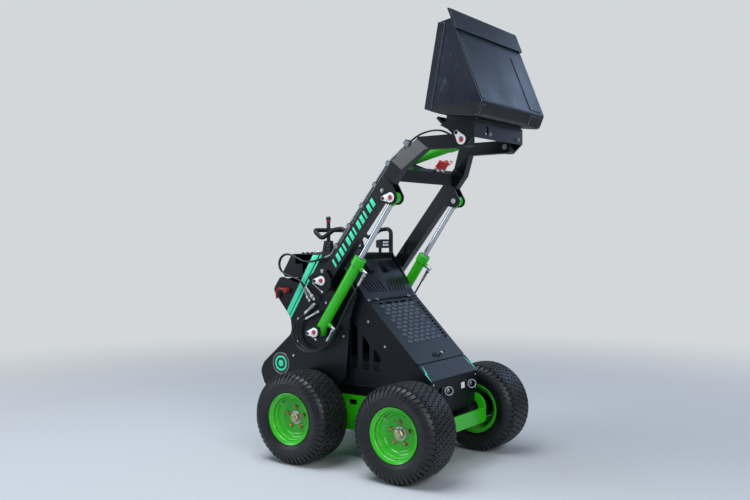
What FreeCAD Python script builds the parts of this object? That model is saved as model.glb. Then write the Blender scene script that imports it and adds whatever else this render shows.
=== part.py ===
import FreeCAD, Part
import math
import os
import re
import Sketcher
from FreeCAD import Placement, Rotation, Vector

# Electric wheeled mini skid steer loader, parked with its boom raised and the bucket rolled back.
# Frame: +X is the loader's front, +Y its left side, +Z up; the origin is on the ground
# under the middle of the wheelbase. Millimetres and degrees.

# Driving dimensions: name, value, what it measures.
DIMENSIONS = [
    ("wheelBase", 695, "front to rear axle"),
    ("trackWidth", 840, "middle of left wheel to middle of right wheel"),
    ("tyreRadius", 254, "tyre outside radius"),
    ("tyreWidth", 254, "tyre width at its bulge"),
    ("seatRadius", 127, "rim bead seat radius"),
    ("flangeRadius", 144, "rim flange radius"),
    ("rimHalf", 112, "wheel middle to rim flange face"),
    ("rimWall", 5, "rim sheet"),
    ("discOffset", 34, "wheel middle to inboard face of the wheel disc"),
    ("discWall", 8, "wheel disc sheet"),
    ("boltCircle", 114.3, "wheel bolt circle diameter"),
    ("boltHole", 15, "wheel bolt hole diameter"),
    ("boltCount", 5, "wheel bolts"),
    ("hubBore", 62, "hole in the wheel disc"),
    ("hubFlange", 146, "hub flange diameter"),
    ("hubPlate", 12, "hub flange thickness"),
    ("motorRadius", 68, "drive motor body radius"),
    ("motorRim", 26, "mounting flange of a drive motor past its body"),
    ("runGap", 0.3, "gap between faces that turn on each other"),
    ("frameInset", 20, "undercarriage side plates inside the hood panels"),
    ("framePlate", 12, "undercarriage plate"),
    ("frameLow", 166, "underside of the undercarriage"),
    ("frameTop", 365, "top edge of its side plates"),
    ("frameFront", 469, "front face of its cross plate"),
    ("frameRear", -600, "rear face of its rear cross plate"),
    ("frontPlateLow", 207, "lower edge of the front cross plate"),
    ("frontPlateTop", 288, "upper edge of the front cross plate"),
    ("archRadius", 78, "outside radius of the front arch"),
    ("cornerRadius", 14, "rounding of the undercarriage's other corners"),
    ("archBand", 45, "width of the arch band"),
    ("panelGap", 43, "hood side panel to the tyre"),
    ("sheetWall", 5, "body sheet"),
    ("hoodSum", 892, "x plus z of the 45 degree hood face"),
    ("noseFace", 402, "front face of the nose"),
    ("noseLow", 298, "lower edge of the nose"),
    ("bendInside", 7, "inside radius of the nose's bend"),
    ("tieHole", 16, "radius of a tie-down hole"),
    ("tieHeight", 432, "height of the tie-down holes"),
    ("tieLeft", 105, "left tie-down hole from the middle plane"),
    ("tieRight", 158, "right tie-down hole from the middle plane"),
    ("louvreLow", 516, "lower edge of the side louvres"),
    ("louvreRound", 6, "rounding of a louvre's corners"),
    ("lipTop", 322, "x of the seam between lid and nose lip"),
    ("lidHinge", -8, "x of the lid hinge line"),
    ("knuckleRadius", 5, "lid hinge knuckle"),
    ("knuckleLong", 60, "length of a knuckle"),
    ("lidGap", 0.3, "lid to the edges it shuts on"),
    ("lidCorner", 12, "rounding of the lid's lower corners"),
    ("grillePitch", 26, "grille rows down the lid"),
    ("grilleColumn", 60, "grille cells across the lid"),
    ("cellHalf", 9, "half height of a grille cell"),
    ("cellLong", 24, "grille cell from its middle to its point"),
    ("panelLow", 429, "lower edge of the side panels"),
    ("bellyFloor", 262, "underside of the belly tub"),
    ("ledgeFront", -190, "front edge of the top deck"),
    ("deckTop", 1158, "top of the deck"),
    ("deckRear", -516, "rear edge of the deck"),
    ("cowlRidge", 42, "how far the cowl's middle stands out"),
    ("cowlPitch", 20, "pitch of the cowl's slots"),
    ("towerGap", 23, "hood side panel to the inside of a tower plate"),
    ("towerPlate", 12, "tower plate"),
    ("towerRound", 30, "rounding of the tower plates' corners"),
    ("earRound", 12, "rounding of the ear plates' corners"),
    ("earGap", 5, "arm to the inside of its outer ear plate"),
    ("liftDisc", 85, "stiffening disc round the lift cylinder's base pin"),
    ("discPlate", 4, "thickness of that disc"),
    ("pivotX", -235, "boom pivot x"),
    ("pivotZ", 1013, "boom pivot z"),
    ("armAngle", 51.4, "main arm above level when raised"),
    ("armGap", 15, "tower plate to the arm"),
    ("armWidth", 55, "arm box width"),
    ("armRound", 16, "rounding of an arm's ends"),
    ("armDepth", 80, "arm box depth"),
    ("boomLength", 941, "boom pivot to the bend"),
    ("taperLength", 151, "how far before the bend the arms start to close in"),
    ("armClose", 100, "how far each arm closes in at its tip"),
    ("beamStart", 237, "how far before the bend the cross member starts"),
    ("beamLength", 64, "cross member along the arm"),
    ("tipLength", 251, "bend to the coupler pivot"),
    ("tipDepth", 69, "depth of an arm tip"),
    ("tipBend", 51.4, "bend of the arm tip"),
    ("pinRadius", 15, "pivot pins"),
    ("pinFit", 0.05, "radial clearance of a pin in its bore"),
    ("liftX", -288, "lift cylinder base pin x"),
    ("liftZ", 722, "lift cylinder base pin z"),
    ("liftTopS", 638.5, "lift cylinder top pin along the arm"),
    ("liftTopN", -80, "the same pin, above the arm's centre line"),
    ("doubler", 8, "clevis plate beside the arm"),
    ("liftBarrel", 30, "lift barrel outside radius"),
    ("liftBore", 24, "lift barrel bore radius"),
    ("liftGland", 36, "lift gland collar radius"),
    ("liftClosed", 507, "base pin to the end of the lift gland"),
    ("liftRod", 15, "lift rod radius"),
    ("liftEye", 30, "lift eye radius"),
    ("liftEyeWidth", 43, "lift eye width"),
    ("tiltBack", 261.91, "tilt cylinder base pin before the bend"),
    ("tiltRise", 192.79, "tilt cylinder base pin above the arm's centre line"),
    ("tiltPinBack", 147.07, "tilt rod pin behind the coupler pivot"),
    ("tiltPinUp", 17.59, "tilt rod pin above the coupler pivot"),
    ("tiltBarrel", 28, "tilt barrel outside radius"),
    ("tiltBore", 22, "tilt barrel bore radius"),
    ("tiltGland", 33, "tilt gland collar radius"),
    ("tiltClosed", 388, "base pin to the end of the tilt gland"),
    ("tiltRod", 14, "tilt rod radius"),
    ("tiltEye", 27, "tilt eye radius"),
    ("tiltEyeWidth", 40, "tilt eye width"),
    ("lugGap", 60, "between the two lugs of a tilt pin"),
    ("lugPlate", 12, "tilt lug plate"),
    ("couplingRadius", 13, "auxiliary coupling"),
    ("couplingLong", 58, "length of an auxiliary coupling"),
    ("couplingPitch", 52, "between the two couplings"),
    ("cheekGap", 7, "arm tip to the coupler's cheek plate"),
    ("cheekPlate", 12, "coupler cheek plate"),
    ("hangerHalf", 255, "half width of the bucket's hanger"),
    ("ribInner", 85, "inner hanger ribs from the middle plane"),
    ("ribPlate", 10, "hanger rib plate"),
    ("bucketHalf", 362, "outside of the bucket's side plates"),
    ("bucketWall", 6, "bucket sheet"),
    ("stripWall", 6, "wear strip on a bucket side"),
    ("stripWidth", 40, "width of that strip"),
    ("heelRound", 18, "inside radius of the bends at the bucket's heel"),
    ("edgeLip", 8, "how far the cutting edge stands past a bucket side"),
    ("edgeWall", 11.8, "cutting edge thickness"),
    ("edgeAhead", 55, "cutting edge past the floor sheet"),
    ("edgeBehind", 62, "cutting edge under the floor sheet"),
    ("batteryLength", 540, "battery case length"),
    ("batteryWidth", 380, "battery case width"),
    ("batteryTall", 290, "battery case height"),
    ("consoleHalf", 200, "half width of the console box"),
    ("consoleRound", 16, "rounding of the console's rear edges"),
    ("bootRadius", 38, "joystick boot at its foot"),
    ("bootTall", 73, "height of a joystick boot"),
    ("stickTall", 219, "height of a joystick"),
    ("barHalf", 230, "handlebar's outer legs from the middle plane"),
    ("barRadius", 12.5, "handlebar tube"),
    ("stickHalf", 150, "joysticks from the middle plane"),
    ("stickBack", 155, "joysticks ahead of the deck's rear edge"),
    ("lampHalf", 140, "work lamps from the middle plane"),
    ("keeperPlate", 6, "pin keeper plate"),
    ("hoseRadius", 5, "hydraulic hose outside radius"),
    ("ferruleRadius", 8, "hose ferrule radius"),
    ("pipeRadius", 6, "steel pipe on the arm"),
    ("portHeight", 50, "cylinder port boss above the cylinder's axis"),
    ("portReach", 71, "port fitting's own axis from the cylinder's"),
    ("portBack", 86.5, "ferrule's end behind its port"),
    ("basePort", 75, "base port from the lift cylinder's base pin"),
    ("rodPort", 462, "rod port from the lift cylinder's base pin"),
]
# Sizes that follow from those: name, formula, what it measures.
DERIVED = [
    ("hoodHalf", "trackWidth / 2 - tyreWidth / 2 - panelGap", "outside of the hood side panels"),
    ("frameHalf", "hoodHalf - frameInset", "outside of the undercarriage side plates"),
    ("towerHalf", "hoodHalf + towerGap + towerPlate", "outside of the tower plates"),
    ("armInner", "towerHalf + armGap", "inside face of an arm from the middle plane"),
    ("armMiddle", "armInner + armWidth / 2", "middle of an arm and its lift cylinder"),
    ("earHalf", "armInner + armWidth + earGap + towerPlate", "outside of the outer ear plates"),
    ("tipInner", "armInner - armClose", "inside face of an arm tip"),
    ("cheekInner", "tipInner + armWidth + cheekGap", "inside face of a coupler cheek plate"),
    ("taperStart", "boomLength - taperLength", "boom pivot to where the arms close in"),
    ("beamFrom", "boomLength - beamStart", "boom pivot to the cross member"),
    ("beamTo", "beamFrom + beamLength", "boom pivot to its far face"),
    ("tipX", "boomLength + tipLength * cos(tipBend)", "coupler pivot along the arm"),
    ("tipZ", "-tipLength * sin(tipBend)", "coupler pivot above the arm"),
    ("tiltS", "boomLength - tiltBack", "tilt base pin along the arm"),
    ("couplerX", "pivotX + tipX * cos(armAngle) - tipZ * sin(armAngle)", "coupler pivot x"),
    ("couplerZ", "pivotZ + tipX * sin(armAngle) + tipZ * cos(armAngle)", "coupler pivot z"),
    ("liftTopX", "pivotX + liftTopS * cos(armAngle) - liftTopN * sin(armAngle)", "lift top pin x"),
    ("liftTopZ", "pivotZ + liftTopS * sin(armAngle) + liftTopN * cos(armAngle)", "lift top pin z"),
    ("tiltBaseX", "pivotX + tiltS * cos(armAngle) - tiltRise * sin(armAngle)", "tilt base pin x"),
    ("tiltBaseZ", "pivotZ + tiltS * sin(armAngle) + tiltRise * cos(armAngle)", "tilt base pin z"),
    ("tiltPinX", "couplerX - tiltPinBack", "tilt rod pin x"),
    ("tiltPinZ", "couplerZ + tiltPinUp", "tilt rod pin z"),
    ("edgeHalf", "bucketHalf + edgeLip", "half width of the cutting edge"),
]

document = FreeCAD.newDocument("skid_steer_loader")
sheet = document.addObject("Spreadsheet::Sheet", "Sizes")
for row, (name, value, meaning) in enumerate(DIMENSIONS, start=1):
    sheet.set(f"A{row}", name)
    sheet.set(f"B{row}", str(value))
    sheet.set(f"C{row}", meaning)
    sheet.setAlias(f"B{row}", name)
for row, (name, formula, meaning) in enumerate(DERIVED, start=len(DIMENSIONS) + 1):
    sheet.set(f"A{row}", name)
    sheet.set(f"B{row}", "=" + formula)
    sheet.set(f"C{row}", meaning)
    sheet.setAlias(f"B{row}", name)
document.recompute()
NAMES = {name for name, value, meaning in DIMENSIONS + DERIVED}
size = {name: float(getattr(sheet, name)) for name in NAMES}

PLANES = {"XY": "XY_Plane", "XZ": "XZ_Plane", "YZ": "YZ_Plane"}
made = []


def cell(text):
    """An expression on the sheet's cells, from one on the bare names."""
    return re.sub(r"[A-Za-z]\w*", lambda m: "Sizes." + m.group() if m.group() in NAMES else m.group(), str(text))


def bind(thing, **sizes):
    """Tie properties of an object to expressions on the sheet."""
    for path, text in sizes.items():
        thing.setExpression(path.replace("__", "."), cell(text))
    return thing


def place(thing, x="0", y="0", z="0"):
    """Tie an object's place to the sheet."""
    return bind(thing, Placement__Base__x=x, Placement__Base__y=y, Placement__Base__z=z)


def block(label, low, high):
    """A box between two corners, each three expressions."""
    box = document.addObject("Part::Box", label)
    lengths = [f"({b}) - ({a})" for a, b in zip(low, high)]
    bind(box, Length=lengths[0], Width=lengths[1], Height=lengths[2])
    return place(box, *low)


TURNS = {"X": Rotation(Vector(0, 1, 0), 90), "Y": Rotation(Vector(1, 0, 0), -90), "Z": Rotation()}


def rod(label, axis, start, length, radius):
    """A cylinder from a start point along an axis."""
    bar = document.addObject("Part::Cylinder", label)
    bar.Placement = Placement(Vector(), TURNS[axis])
    bind(bar, Radius=radius, Height=length)
    return place(bar, *start)


def joined(label, parts):
    """One piece from overlapping or touching ones."""
    fuse = document.addObject("Part::MultiFuse", label)
    fuse.Shapes = parts
    fuse.Refine = True
    return fuse


def group(label, parts):
    """Like pieces that stay apart but are one sub-part."""
    compound = document.addObject("Part::Compound", label)
    compound.Links = parts
    return compound


def cut(label, base, tools):
    """A piece with other shapes taken out of it."""
    tool = tools[0] if len(tools) == 1 else joined(label + "_tools", tools)
    result = document.addObject("Part::Cut", label)
    result.Base, result.Tool, result.Refine = base, tool, True
    return result


def common(label, first, second):
    """What two shapes share."""
    result = document.addObject("Part::Common", label)
    result.Base, result.Tool, result.Refine = first, second, True
    return result


def mirrored(label, source):
    """The same piece on the other side of the middle plane."""
    twin = document.addObject("Part::Mirroring", label)
    twin.Source, twin.Normal, twin.Base = source, Vector(0, 1, 0), Vector()
    return twin


def outline(body, plane, points, offset):
    """A closed sketch of straight lines; every corner is tied to two expressions."""
    sketch = body.newObject("Sketcher::SketchObject", body.Name + "_sketch")
    origin = next(f for f in body.Origin.OriginFeatures if f.Role == PLANES[plane])
    sketch.AttachmentSupport = [(origin, "")]
    sketch.MapMode = "FlatFace"
    bind(sketch, AttachmentOffset__Base__z=offset)
    count = len(points)
    rough = [Vector(math.cos(6.28 * i / count) * 100, math.sin(6.28 * i / count) * 100, 0) for i in range(count)]
    sketch.addGeometry([Part.LineSegment(rough[i], rough[(i + 1) % count]) for i in range(count)], False)
    for i, (across, up) in enumerate(points):
        sketch.addConstraint(Sketcher.Constraint("Coincident", i, 2, (i + 1) % count, 1))
        for kind, text, start in (("DistanceX", across, rough[i].x), ("DistanceY", up, rough[i].y)):
            index = sketch.addConstraint(Sketcher.Constraint(kind, i, 1, start))
            sketch.setExpression(f"Constraints[{index}]", cell(text))
    return sketch


def plate(label, plane, points, start, end):
    """A flat piece of any outline, from start to end along the plane's world axis."""
    body = document.addObject("PartDesign::Body", label)
    facing = -1 if plane == "XZ" else 1
    sketch = outline(body, plane, points, f"-({end})" if facing < 0 else start)
    pad = body.newObject("PartDesign::Pad", label + "_pad")
    pad.Profile = sketch
    bind(pad, Length=f"({end}) - ({start})")
    return body


def about(points, x, z):
    """The same outline measured from a named point instead of the origin."""
    return [(f"{x} + ({across})", f"{z} + ({up})") for across, up in points]


def eased(body, *rounds):
    """Round a plate's corners: each entry is a radius, then the numbers of the corners that take it."""
    sketch = body.Group[0]
    for radius, corners in rounds:
        document.recompute()
        solid = body.Tip
        normal = sketch.Placement.Rotation.multVec(Vector(0, 0, 1))
        starts = [sketch.Placement.multVec(sketch.Geometry[i].StartPoint) for i in corners]
        names = []
        for number, edge in enumerate(solid.Shape.Edges, start=1):
            low, high = edge.Vertexes[0].Point, edge.Vertexes[-1].Point
            away = [(low - start).cross(normal).Length for start in starts]
            if (high - low).cross(normal).Length < 0.001 and (high - low).Length > 0.01 and min(away) < 0.01:
                names.append(f"Edge{number}")
        fillet = body.newObject("PartDesign::Fillet", f"{body.Name}_round_{len(body.Group)}")
        fillet.Base = (solid, names)
        bind(fillet, Radius=radius)
    return body


def turned(label, points):
    """A piece turned about the Y axis; points are (radius, y)."""
    body = document.addObject("PartDesign::Body", label)
    sketch = outline(body, "XY", points, "0")
    spin = body.newObject("PartDesign::Revolution", label + "_spin")
    spin.Profile = sketch
    spin.ReferenceAxis = (sketch, ["V_Axis"])
    spin.Angle = 360
    return body


def faceted_ring(section, sides):
    """A ring of flat sides about the Y axis; the middle of each side lies at the section's own radius."""
    step = 2 * math.pi / sides
    stretch = 1 / math.cos(step / 2)
    rings = []
    for i in range(sides):
        across, up = math.sin((i + 0.5) * step) * stretch, math.cos((i + 0.5) * step) * stretch
        rings.append([Vector(radius * across, y, radius * up) for radius, y in section])
    faces = []
    for i in range(sides):
        here, there = rings[i], rings[(i + 1) % sides]
        for j in range(len(section)):
            k = (j + 1) % len(section)
            faces.append(Part.Face(Part.makePolygon([here[j], here[k], there[k], there[j], here[j]])))
    ring = Part.Solid(Part.Shell(faces))
    if ring.Volume < 0:
        ring.reverse()
    return ring


def finish(*pieces):
    """Note the pieces that are sub-parts of their own."""
    made.extend(pieces)


def rounded_path(points, radius_of):
    """A wire of straight runs joined by tangent arcs."""
    edges, last = [], points[0]
    for i in range(1, len(points) - 1):
        before, here, after = points[i - 1], points[i], points[i + 1]
        back, ahead = (before - here), (after - here)
        short = min(back.Length, ahead.Length)
        back.normalize()
        ahead.normalize()
        half = (math.pi - back.getAngle(ahead)) / 2
        radius = min(radius_of, 0.45 * short / math.tan(half))
        reach = radius * math.tan(half)
        first, second = here + back * reach, here + ahead * reach
        inward = back + ahead
        inward.normalize()
        middle = here + inward * (radius / math.cos(half) - radius)
        edges.append(Part.LineSegment(last, first).toShape())
        edges.append(Part.Arc(first, middle, second).toShape())
        last = second
    edges.append(Part.LineSegment(last, points[-1]).toShape())
    return Part.Wire(edges)


def tube_along(points, radius, bend):
    """A round bar whose middle follows the rounded path."""
    path = rounded_path([Vector(*p) for p in points], bend)
    start = path.Edges[0]
    ring = Part.Wire(Part.Circle(start.valueAt(start.FirstParameter),
                                 start.tangentAt(start.FirstParameter), radius).toShape())
    return path.makePipeShell([ring], True, False)


def shape_piece(label, shape):
    """A sub-part whose shape is made directly."""
    piece = document.addObject("Part::Feature", label)
    piece.Shape = shape
    return piece


# Wheels: a tyre with flat tread bars, a rim and a hub about the axle, set at the four corners.
BULGE = size["tyreWidth"] / 2
SEAT = size["seatRadius"] + size["runGap"]
HALF_TYRE = [  # radius, distance from the wheel's middle
    (SEAT, size["rimHalf"] - 10), (size["flangeRadius"] + 1, size["rimHalf"] - 7),
    (size["flangeRadius"] + 4, size["rimHalf"] - 1), (size["flangeRadius"] + 22, BULGE * 0.96),
    (size["tyreRadius"] - 54, BULGE), (size["tyreRadius"] - 29, BULGE * 0.945),
    (size["tyreRadius"] - 12, BULGE * 0.85), (size["tyreRadius"] - 3, BULGE * 0.71),
    (size["tyreRadius"], BULGE * 0.47),
]
TYRE_SIDES = 36
TYRE = faceted_ring([(radius, -y) for radius, y in HALF_TYRE] + HALF_TYRE[::-1], TYRE_SIDES)
CORNERS = [  # place name, x sign, y sign
    ("front_left", 1, 1), ("front_right", 1, -1), ("rear_left", -1, 1), ("rear_right", -1, -1),
]


def wheel_pieces(where, front, side):
    """The tyre, rim and hub of one wheel; side is 1 on the left and -1 on the right."""
    tyre = shape_piece("tyre_" + where, TYRE)
    out = lambda y: f"{side} * ({y})"
    rim_profile = [
        ("seatRadius", out("-rimHalf + 9")), ("flangeRadius", out("-rimHalf + 6")),
        ("flangeRadius", out("-rimHalf")), ("seatRadius - rimWall", out("-rimHalf")),
        ("seatRadius - rimWall", out("discOffset - 22")),
        ("seatRadius - rimWall - 20", out("discOffset")), ("hubBore / 2", out("discOffset")),
        ("hubBore / 2", out("discOffset + discWall")),
        ("seatRadius - rimWall - 17", out("discOffset + discWall")),
        ("seatRadius - rimWall", out("discOffset + 4")), ("seatRadius - rimWall", out("rimHalf")),
        ("flangeRadius", out("rimHalf")), ("flangeRadius", out("rimHalf - 6")),
        ("seatRadius", out("rimHalf - 9")),
    ]
    rim = turned("rim_" + where + "_turned", rim_profile)
    holes = []
    for i in range(int(size["boltCount"])):
        angle = f"90 + {i} * 360 / boltCount"
        holes.append(rod(f"bolt_hole_{where}_{i}", "Y",
                         (f"boltCircle / 2 * cos({angle})", f"{side} * (discOffset + discWall / 2) - 15",
                          f"boltCircle / 2 * sin({angle})"), "30", "boltHole / 2"))
    rim = cut("rim_" + where, rim, holes)
    hub_profile = [
        ("0", out("discOffset - hubPlate - 16")), ("34", out("discOffset - hubPlate - 16")),
        ("34", out("discOffset - hubPlate")), ("hubFlange / 2", out("discOffset - hubPlate")),
        ("hubFlange / 2", out("discOffset")), ("hubBore / 2 - 0.1", out("discOffset")),
        ("hubBore / 2 - 0.1", out("discOffset + discWall + 4")), ("26", out("discOffset + discWall + 24")),
        ("19", out("discOffset + discWall + 30")), ("0", out("discOffset + discWall + 30")),
    ]
    hub = turned("hub_" + where, hub_profile)
    for piece in (tyre, rim, hub):
        place(piece, f"{front} * wheelBase / 2", f"{side} * trackWidth / 2", "tyreRadius")
    finish(tyre, rim, hub)


for where, front, side in CORNERS:
    wheel_pieces(where, front, side)


# Drive motors: each bolted through an undercarriage side plate, its face just short of the hub.
def drive_motor(where, front, side):
    reach = "trackWidth / 2 + discOffset - hubPlate - 16 - runGap"
    body = turned("motor_" + where, [
        ("0", f"{side} * (frameHalf - framePlate - 60)"), ("motorRadius - 8", f"{side} * (frameHalf - framePlate - 60)"),
        ("motorRadius - 8", f"{side} * frameHalf"), ("motorRadius + motorRim", f"{side} * frameHalf"),
        ("motorRadius + motorRim", f"{side} * (frameHalf + 12)"), ("motorRadius", f"{side} * (frameHalf + 16)"),
        ("motorRadius", f"{side} * (trackWidth / 2 - 26)"), ("46", f"{side} * (trackWidth / 2 - 8)"),
        ("46", f"{side} * ({reach})"), ("0", f"{side} * ({reach})"),
    ])
    return place(body, f"{front} * wheelBase / 2", "0", "tyreRadius")


finish(group("drive_motors", [drive_motor(*corner) for corner in CORNERS]))


# Undercarriage: two side plates with a slot, front and rear cross plates and a floor.
def frame_side(label, low):
    """One side plate with its front arch cut through, from y = low."""
    side = plate(label + "_plate", "XZ", [
        ("frameRear", "frameLow + 90"), ("frameRear + 60", "frameLow"), ("frameFront - 90", "frameLow"),
        ("frameFront", "frontPlateLow"), ("frameFront", "frameTop"), ("frameRear", "frameTop"),
    ], low, f"{low} + framePlate")
    eased(side, ("archRadius", [4]), ("cornerRadius", [0, 1, 2, 3, 5]))
    window = plate(label + "_window", "XZ", [
        ("frameFront - archRadius - 50", "frameTop - archRadius - 30"),
        ("frameFront - archBand", "frameTop - archRadius - 30"),
        ("frameFront - archBand", "frameTop - archBand"), ("frameFront - archRadius - 50", "frameTop - archBand"),
    ], f"{low} - 1", f"{low} + framePlate + 1")
    eased(window, ("archRadius - archBand", [2]), ("6", [0, 1, 3]))
    slot = plate(label + "_slot", "XZ", [
        ("-160", "frameTop - 55"), ("-102", "frameTop - 55"), ("-102", "frameTop - 25"), ("-160", "frameTop - 25"),
    ], f"{low} - 1", f"{low} + framePlate + 1")
    eased(slot, ("6", [0, 1, 2, 3]))
    bores = [rod(f"{label}_bore_{i}", "Y", (f"{front} * wheelBase / 2", f"{low} - 1", "tyreRadius"),
                 "framePlate + 2", "motorRadius - 8 + runGap") for i, front in enumerate((1, -1))]
    return cut(label, side, [window, slot] + bores)


sides = [frame_side("frame_side_left", "frameHalf - framePlate"), frame_side("frame_side_right", "-frameHalf")]
strap = plate("frame_front", "YZ", [
    ("-frameHalf + framePlate", "frontPlateLow"), ("frameHalf - framePlate", "frontPlateLow"),
    ("frameHalf - framePlate", "frontPlateTop"), ("-frameHalf + framePlate", "frontPlateTop"),
], "frameFront - framePlate", "frameFront")
cross = [
    strap,
    block("frame_rear", ("frameRear", "-frameHalf + framePlate", "frameLow + 90"),
          ("frameRear + framePlate", "frameHalf - framePlate", "frameTop - 25")),
    block("frame_floor", ("frameRear + 70", "-frameHalf + framePlate", "frameLow"),
          ("frameFront - 100", "frameHalf - framePlate", "frameLow + 8")),
]
finish(joined("undercarriage", sides + cross))

# Belly tub: a folded sheet that hangs between the side plates and carries the side panels on its flanges.
TUB = "frameHalf - framePlate - 3"
tub = plate("belly_trough", "YZ", [
    ("-hoodHalf", "panelLow"), (f"-({TUB}) + sheetWall", "panelLow"),
    (f"-({TUB}) + sheetWall", "bellyFloor + sheetWall"), (f"{TUB} - sheetWall", "bellyFloor + sheetWall"),
    (f"{TUB} - sheetWall", "panelLow"), ("hoodHalf", "panelLow"), ("hoodHalf", "panelLow - sheetWall"),
    (TUB, "panelLow - sheetWall"), (TUB, "bellyFloor"), (f"-({TUB})", "bellyFloor"),
    (f"-({TUB})", "panelLow - sheetWall"), ("-hoodHalf", "panelLow - sheetWall"),
], "frameRear + 40", "noseFace - sheetWall")
shelves = [
    block("tub_shelf_left", ("frameRear + 40", "hoodHalf", "panelLow - sheetWall"),
          ("-160", "towerHalf - towerPlate", "panelLow")),
    block("tub_shelf_right", ("frameRear + 40", "-towerHalf + towerPlate", "panelLow - sheetWall"),
          ("-160", "-hoodHalf", "panelLow")),
]
clear = [rod(f"tub_clear_{where}", "Y", (f"{front} * wheelBase / 2", "-frameHalf", "tyreRadius"),
             "2 * frameHalf", "motorRadius") for where, front in (("front", 1), ("rear", -1))]
finish(cut("belly_tub", joined("belly_tub_solid", [tub] + shelves), clear))

# Hood side panels: the louvred sheets under the hood face.
UNDER_LID = "hoodSum - (sheetWall + lidGap) * sqrt(2)"
panel = plate("side_panel_sheet", "XZ", [
    ("noseFace - sheetWall", "panelLow"), ("noseFace - sheetWall", f"{UNDER_LID} - noseFace + sheetWall"),
    ("lidHinge - 12", f"{UNDER_LID} - lidHinge + 12"), ("ledgeFront - sheetWall - 2", "deckTop - 34"),
    ("deckRear + 76", "deckTop - 34"), ("deckRear + 76", "panelLow"),
], "hoodHalf - sheetWall", "hoodHalf")
eased(panel, ("bendInside", [1]), ("10", [0, 4]))
LOUVRES = [  # x of the left edge, width, height of the left corner, height of the right corner
    (-203, 46, 830, 810), (-126, 47, 785, 751), (-46, 48, 711, 660), (31, 45, 644, 594),
]
slots = []
for i, (left, width, left_top, right_top) in enumerate(LOUVRES):
    slot = plate(f"louvre_{i}", "XZ", [
        (left, "louvreLow"), (left + width, "louvreLow"), (left + width, right_top), (left, left_top),
    ], "hoodHalf - sheetWall - 1", "hoodHalf + 1")
    slots.append(eased(slot, ("louvreRound", [0, 1, 3]), ("3 * louvreRound", [2])))
side_left = cut("side_panel_left", panel, slots)
finish(side_left, mirrored("side_panel_right", side_left))

# Nose: one sheet bent from the lip down the front face, with two tie-down holes.
LIP_LOW = "hoodSum - noseFace"
nose = plate("nose_sheet", "XZ", [
    ("lipTop", "hoodSum - lipTop"), ("noseFace", LIP_LOW), ("noseFace", "noseLow"),
    ("noseFace - sheetWall", "noseLow"), ("noseFace - sheetWall", f"{LIP_LOW} - sheetWall * 0.41"),
    ("lipTop - sheetWall * 0.71", "hoodSum - lipTop - sheetWall * 0.71"),
], "-hoodHalf", "hoodHalf")
eased(nose, ("bendInside + sheetWall", [1]), ("bendInside", [4]))
ties = [
    rod("tie_hole_" + name, "X", ("noseFace - 20", y, "tieHeight"), "40", "tieHole")
    for name, y in (("left", "tieLeft"), ("right", "-tieRight"))
]
NOTCH_TOP = "max(frameTop; tyreRadius + motorRadius + motorRim) + runGap"
notches = [
    block("nose_notch_" + name, ("noseFace - 60", low, "noseLow - 10"), ("noseFace + 10", high, NOTCH_TOP))
    for name, low, high in (("left", "frameHalf - framePlate - runGap", "hoodHalf + 1"),
                            ("right", "-hoodHalf - 1", "-frameHalf + framePlate + runGap"))
]
finish(cut("nose_panel", nose, ties + notches))

# Hood lid: a flat sheet on the 45 degree face, hinged along its top edge.
ROOT2 = math.sqrt(2)


def hood_frame(piece):
    """Lay a flat piece on the hood face: its x runs down the slope, its y across, its z outwards."""
    piece.Placement = Placement(Vector(), Rotation(Vector(0, 1, 0), 45))
    return place(piece, "lidHinge", "0", "hoodSum - lidHinge")


lid_length = f"(lipTop - lidHinge) * {ROOT2:.6f}"
lid = plate("hood_lid_sheet", "XY", [
    ("3", "-hoodHalf"), (f"{lid_length} - 6", "-hoodHalf"), (f"{lid_length} - 6", "hoodHalf"), ("3", "hoodHalf"),
], "-sheetWall", "0")
eased(lid, ("lidCorner", [1, 2]))
lid_skirt = block("hood_lid_skirt", (f"{lid_length} - 16", "-hoodHalf + 12", "-sheetWall - 18"),
                  (f"{lid_length} - 12", "hoodHalf - 12", "-sheetWall"))
GRILLE_ROWS = 11
cells = []
for row in range(GRILLE_ROWS):
    for column in range(6 if row % 2 == 0 else 5):
        x, y = f"48 + {row} * grillePitch", f"({column - 2.5 + (row % 2) / 2}) * grilleColumn - 5"
        cells.append(plate(f"cell_{row}_{column}", "XY", [
            (f"{x} - cellHalf", f"{y} - cellLong + 8"), (x, f"{y} - cellLong"), (f"{x} + cellHalf", f"{y} - cellLong + 8"),
            (f"{x} + cellHalf", f"{y} + cellLong - 8"), (x, f"{y} + cellLong"), (f"{x} - cellHalf", f"{y} + cellLong - 8"),
        ], "-sheetWall - 1", "1"))
OVALS = 12
for i in range(OVALS):
    oval = plate(f"oval_{i}", "XY", [
        (f"46 + {i} * grillePitch * 0.92", "hoodHalf - 54"), (f"60 + {i} * grillePitch * 0.92", "hoodHalf - 54"),
        (f"60 + {i} * grillePitch * 0.92", "hoodHalf - 26"), (f"46 + {i} * grillePitch * 0.92", "hoodHalf - 26"),
    ], "-sheetWall - 1", "1")
    cells.append(eased(oval, ("6.5", [0, 1, 2, 3])))
lid = cut("hood_lid_pierced", joined("hood_lid_bent", [lid, lid_skirt]), [group("grille_cells", cells)])
HINGES = [  # side, y of the knuckle's lower end
    ("left", "hoodHalf - 80"), ("right", "20 - hoodHalf"),
]
knuckles, knuckle_bores = [], []
for name, low in HINGES:
    knuckles.append(rod("knuckle_" + name, "Y", ("0", low, "knuckleRadius"), "knuckleLong", "knuckleRadius"))
    knuckles.append(block("leaf_" + name, ("0", low, "-1"), ("22", f"{low} + knuckleLong", "3")))
    knuckle_bores.append(rod("knuckle_bore_" + name, "Y", ("0", f"{low} - 1", "knuckleRadius"),
                             "knuckleLong + 2", "knuckleRadius / 2 + pinFit"))
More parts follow.
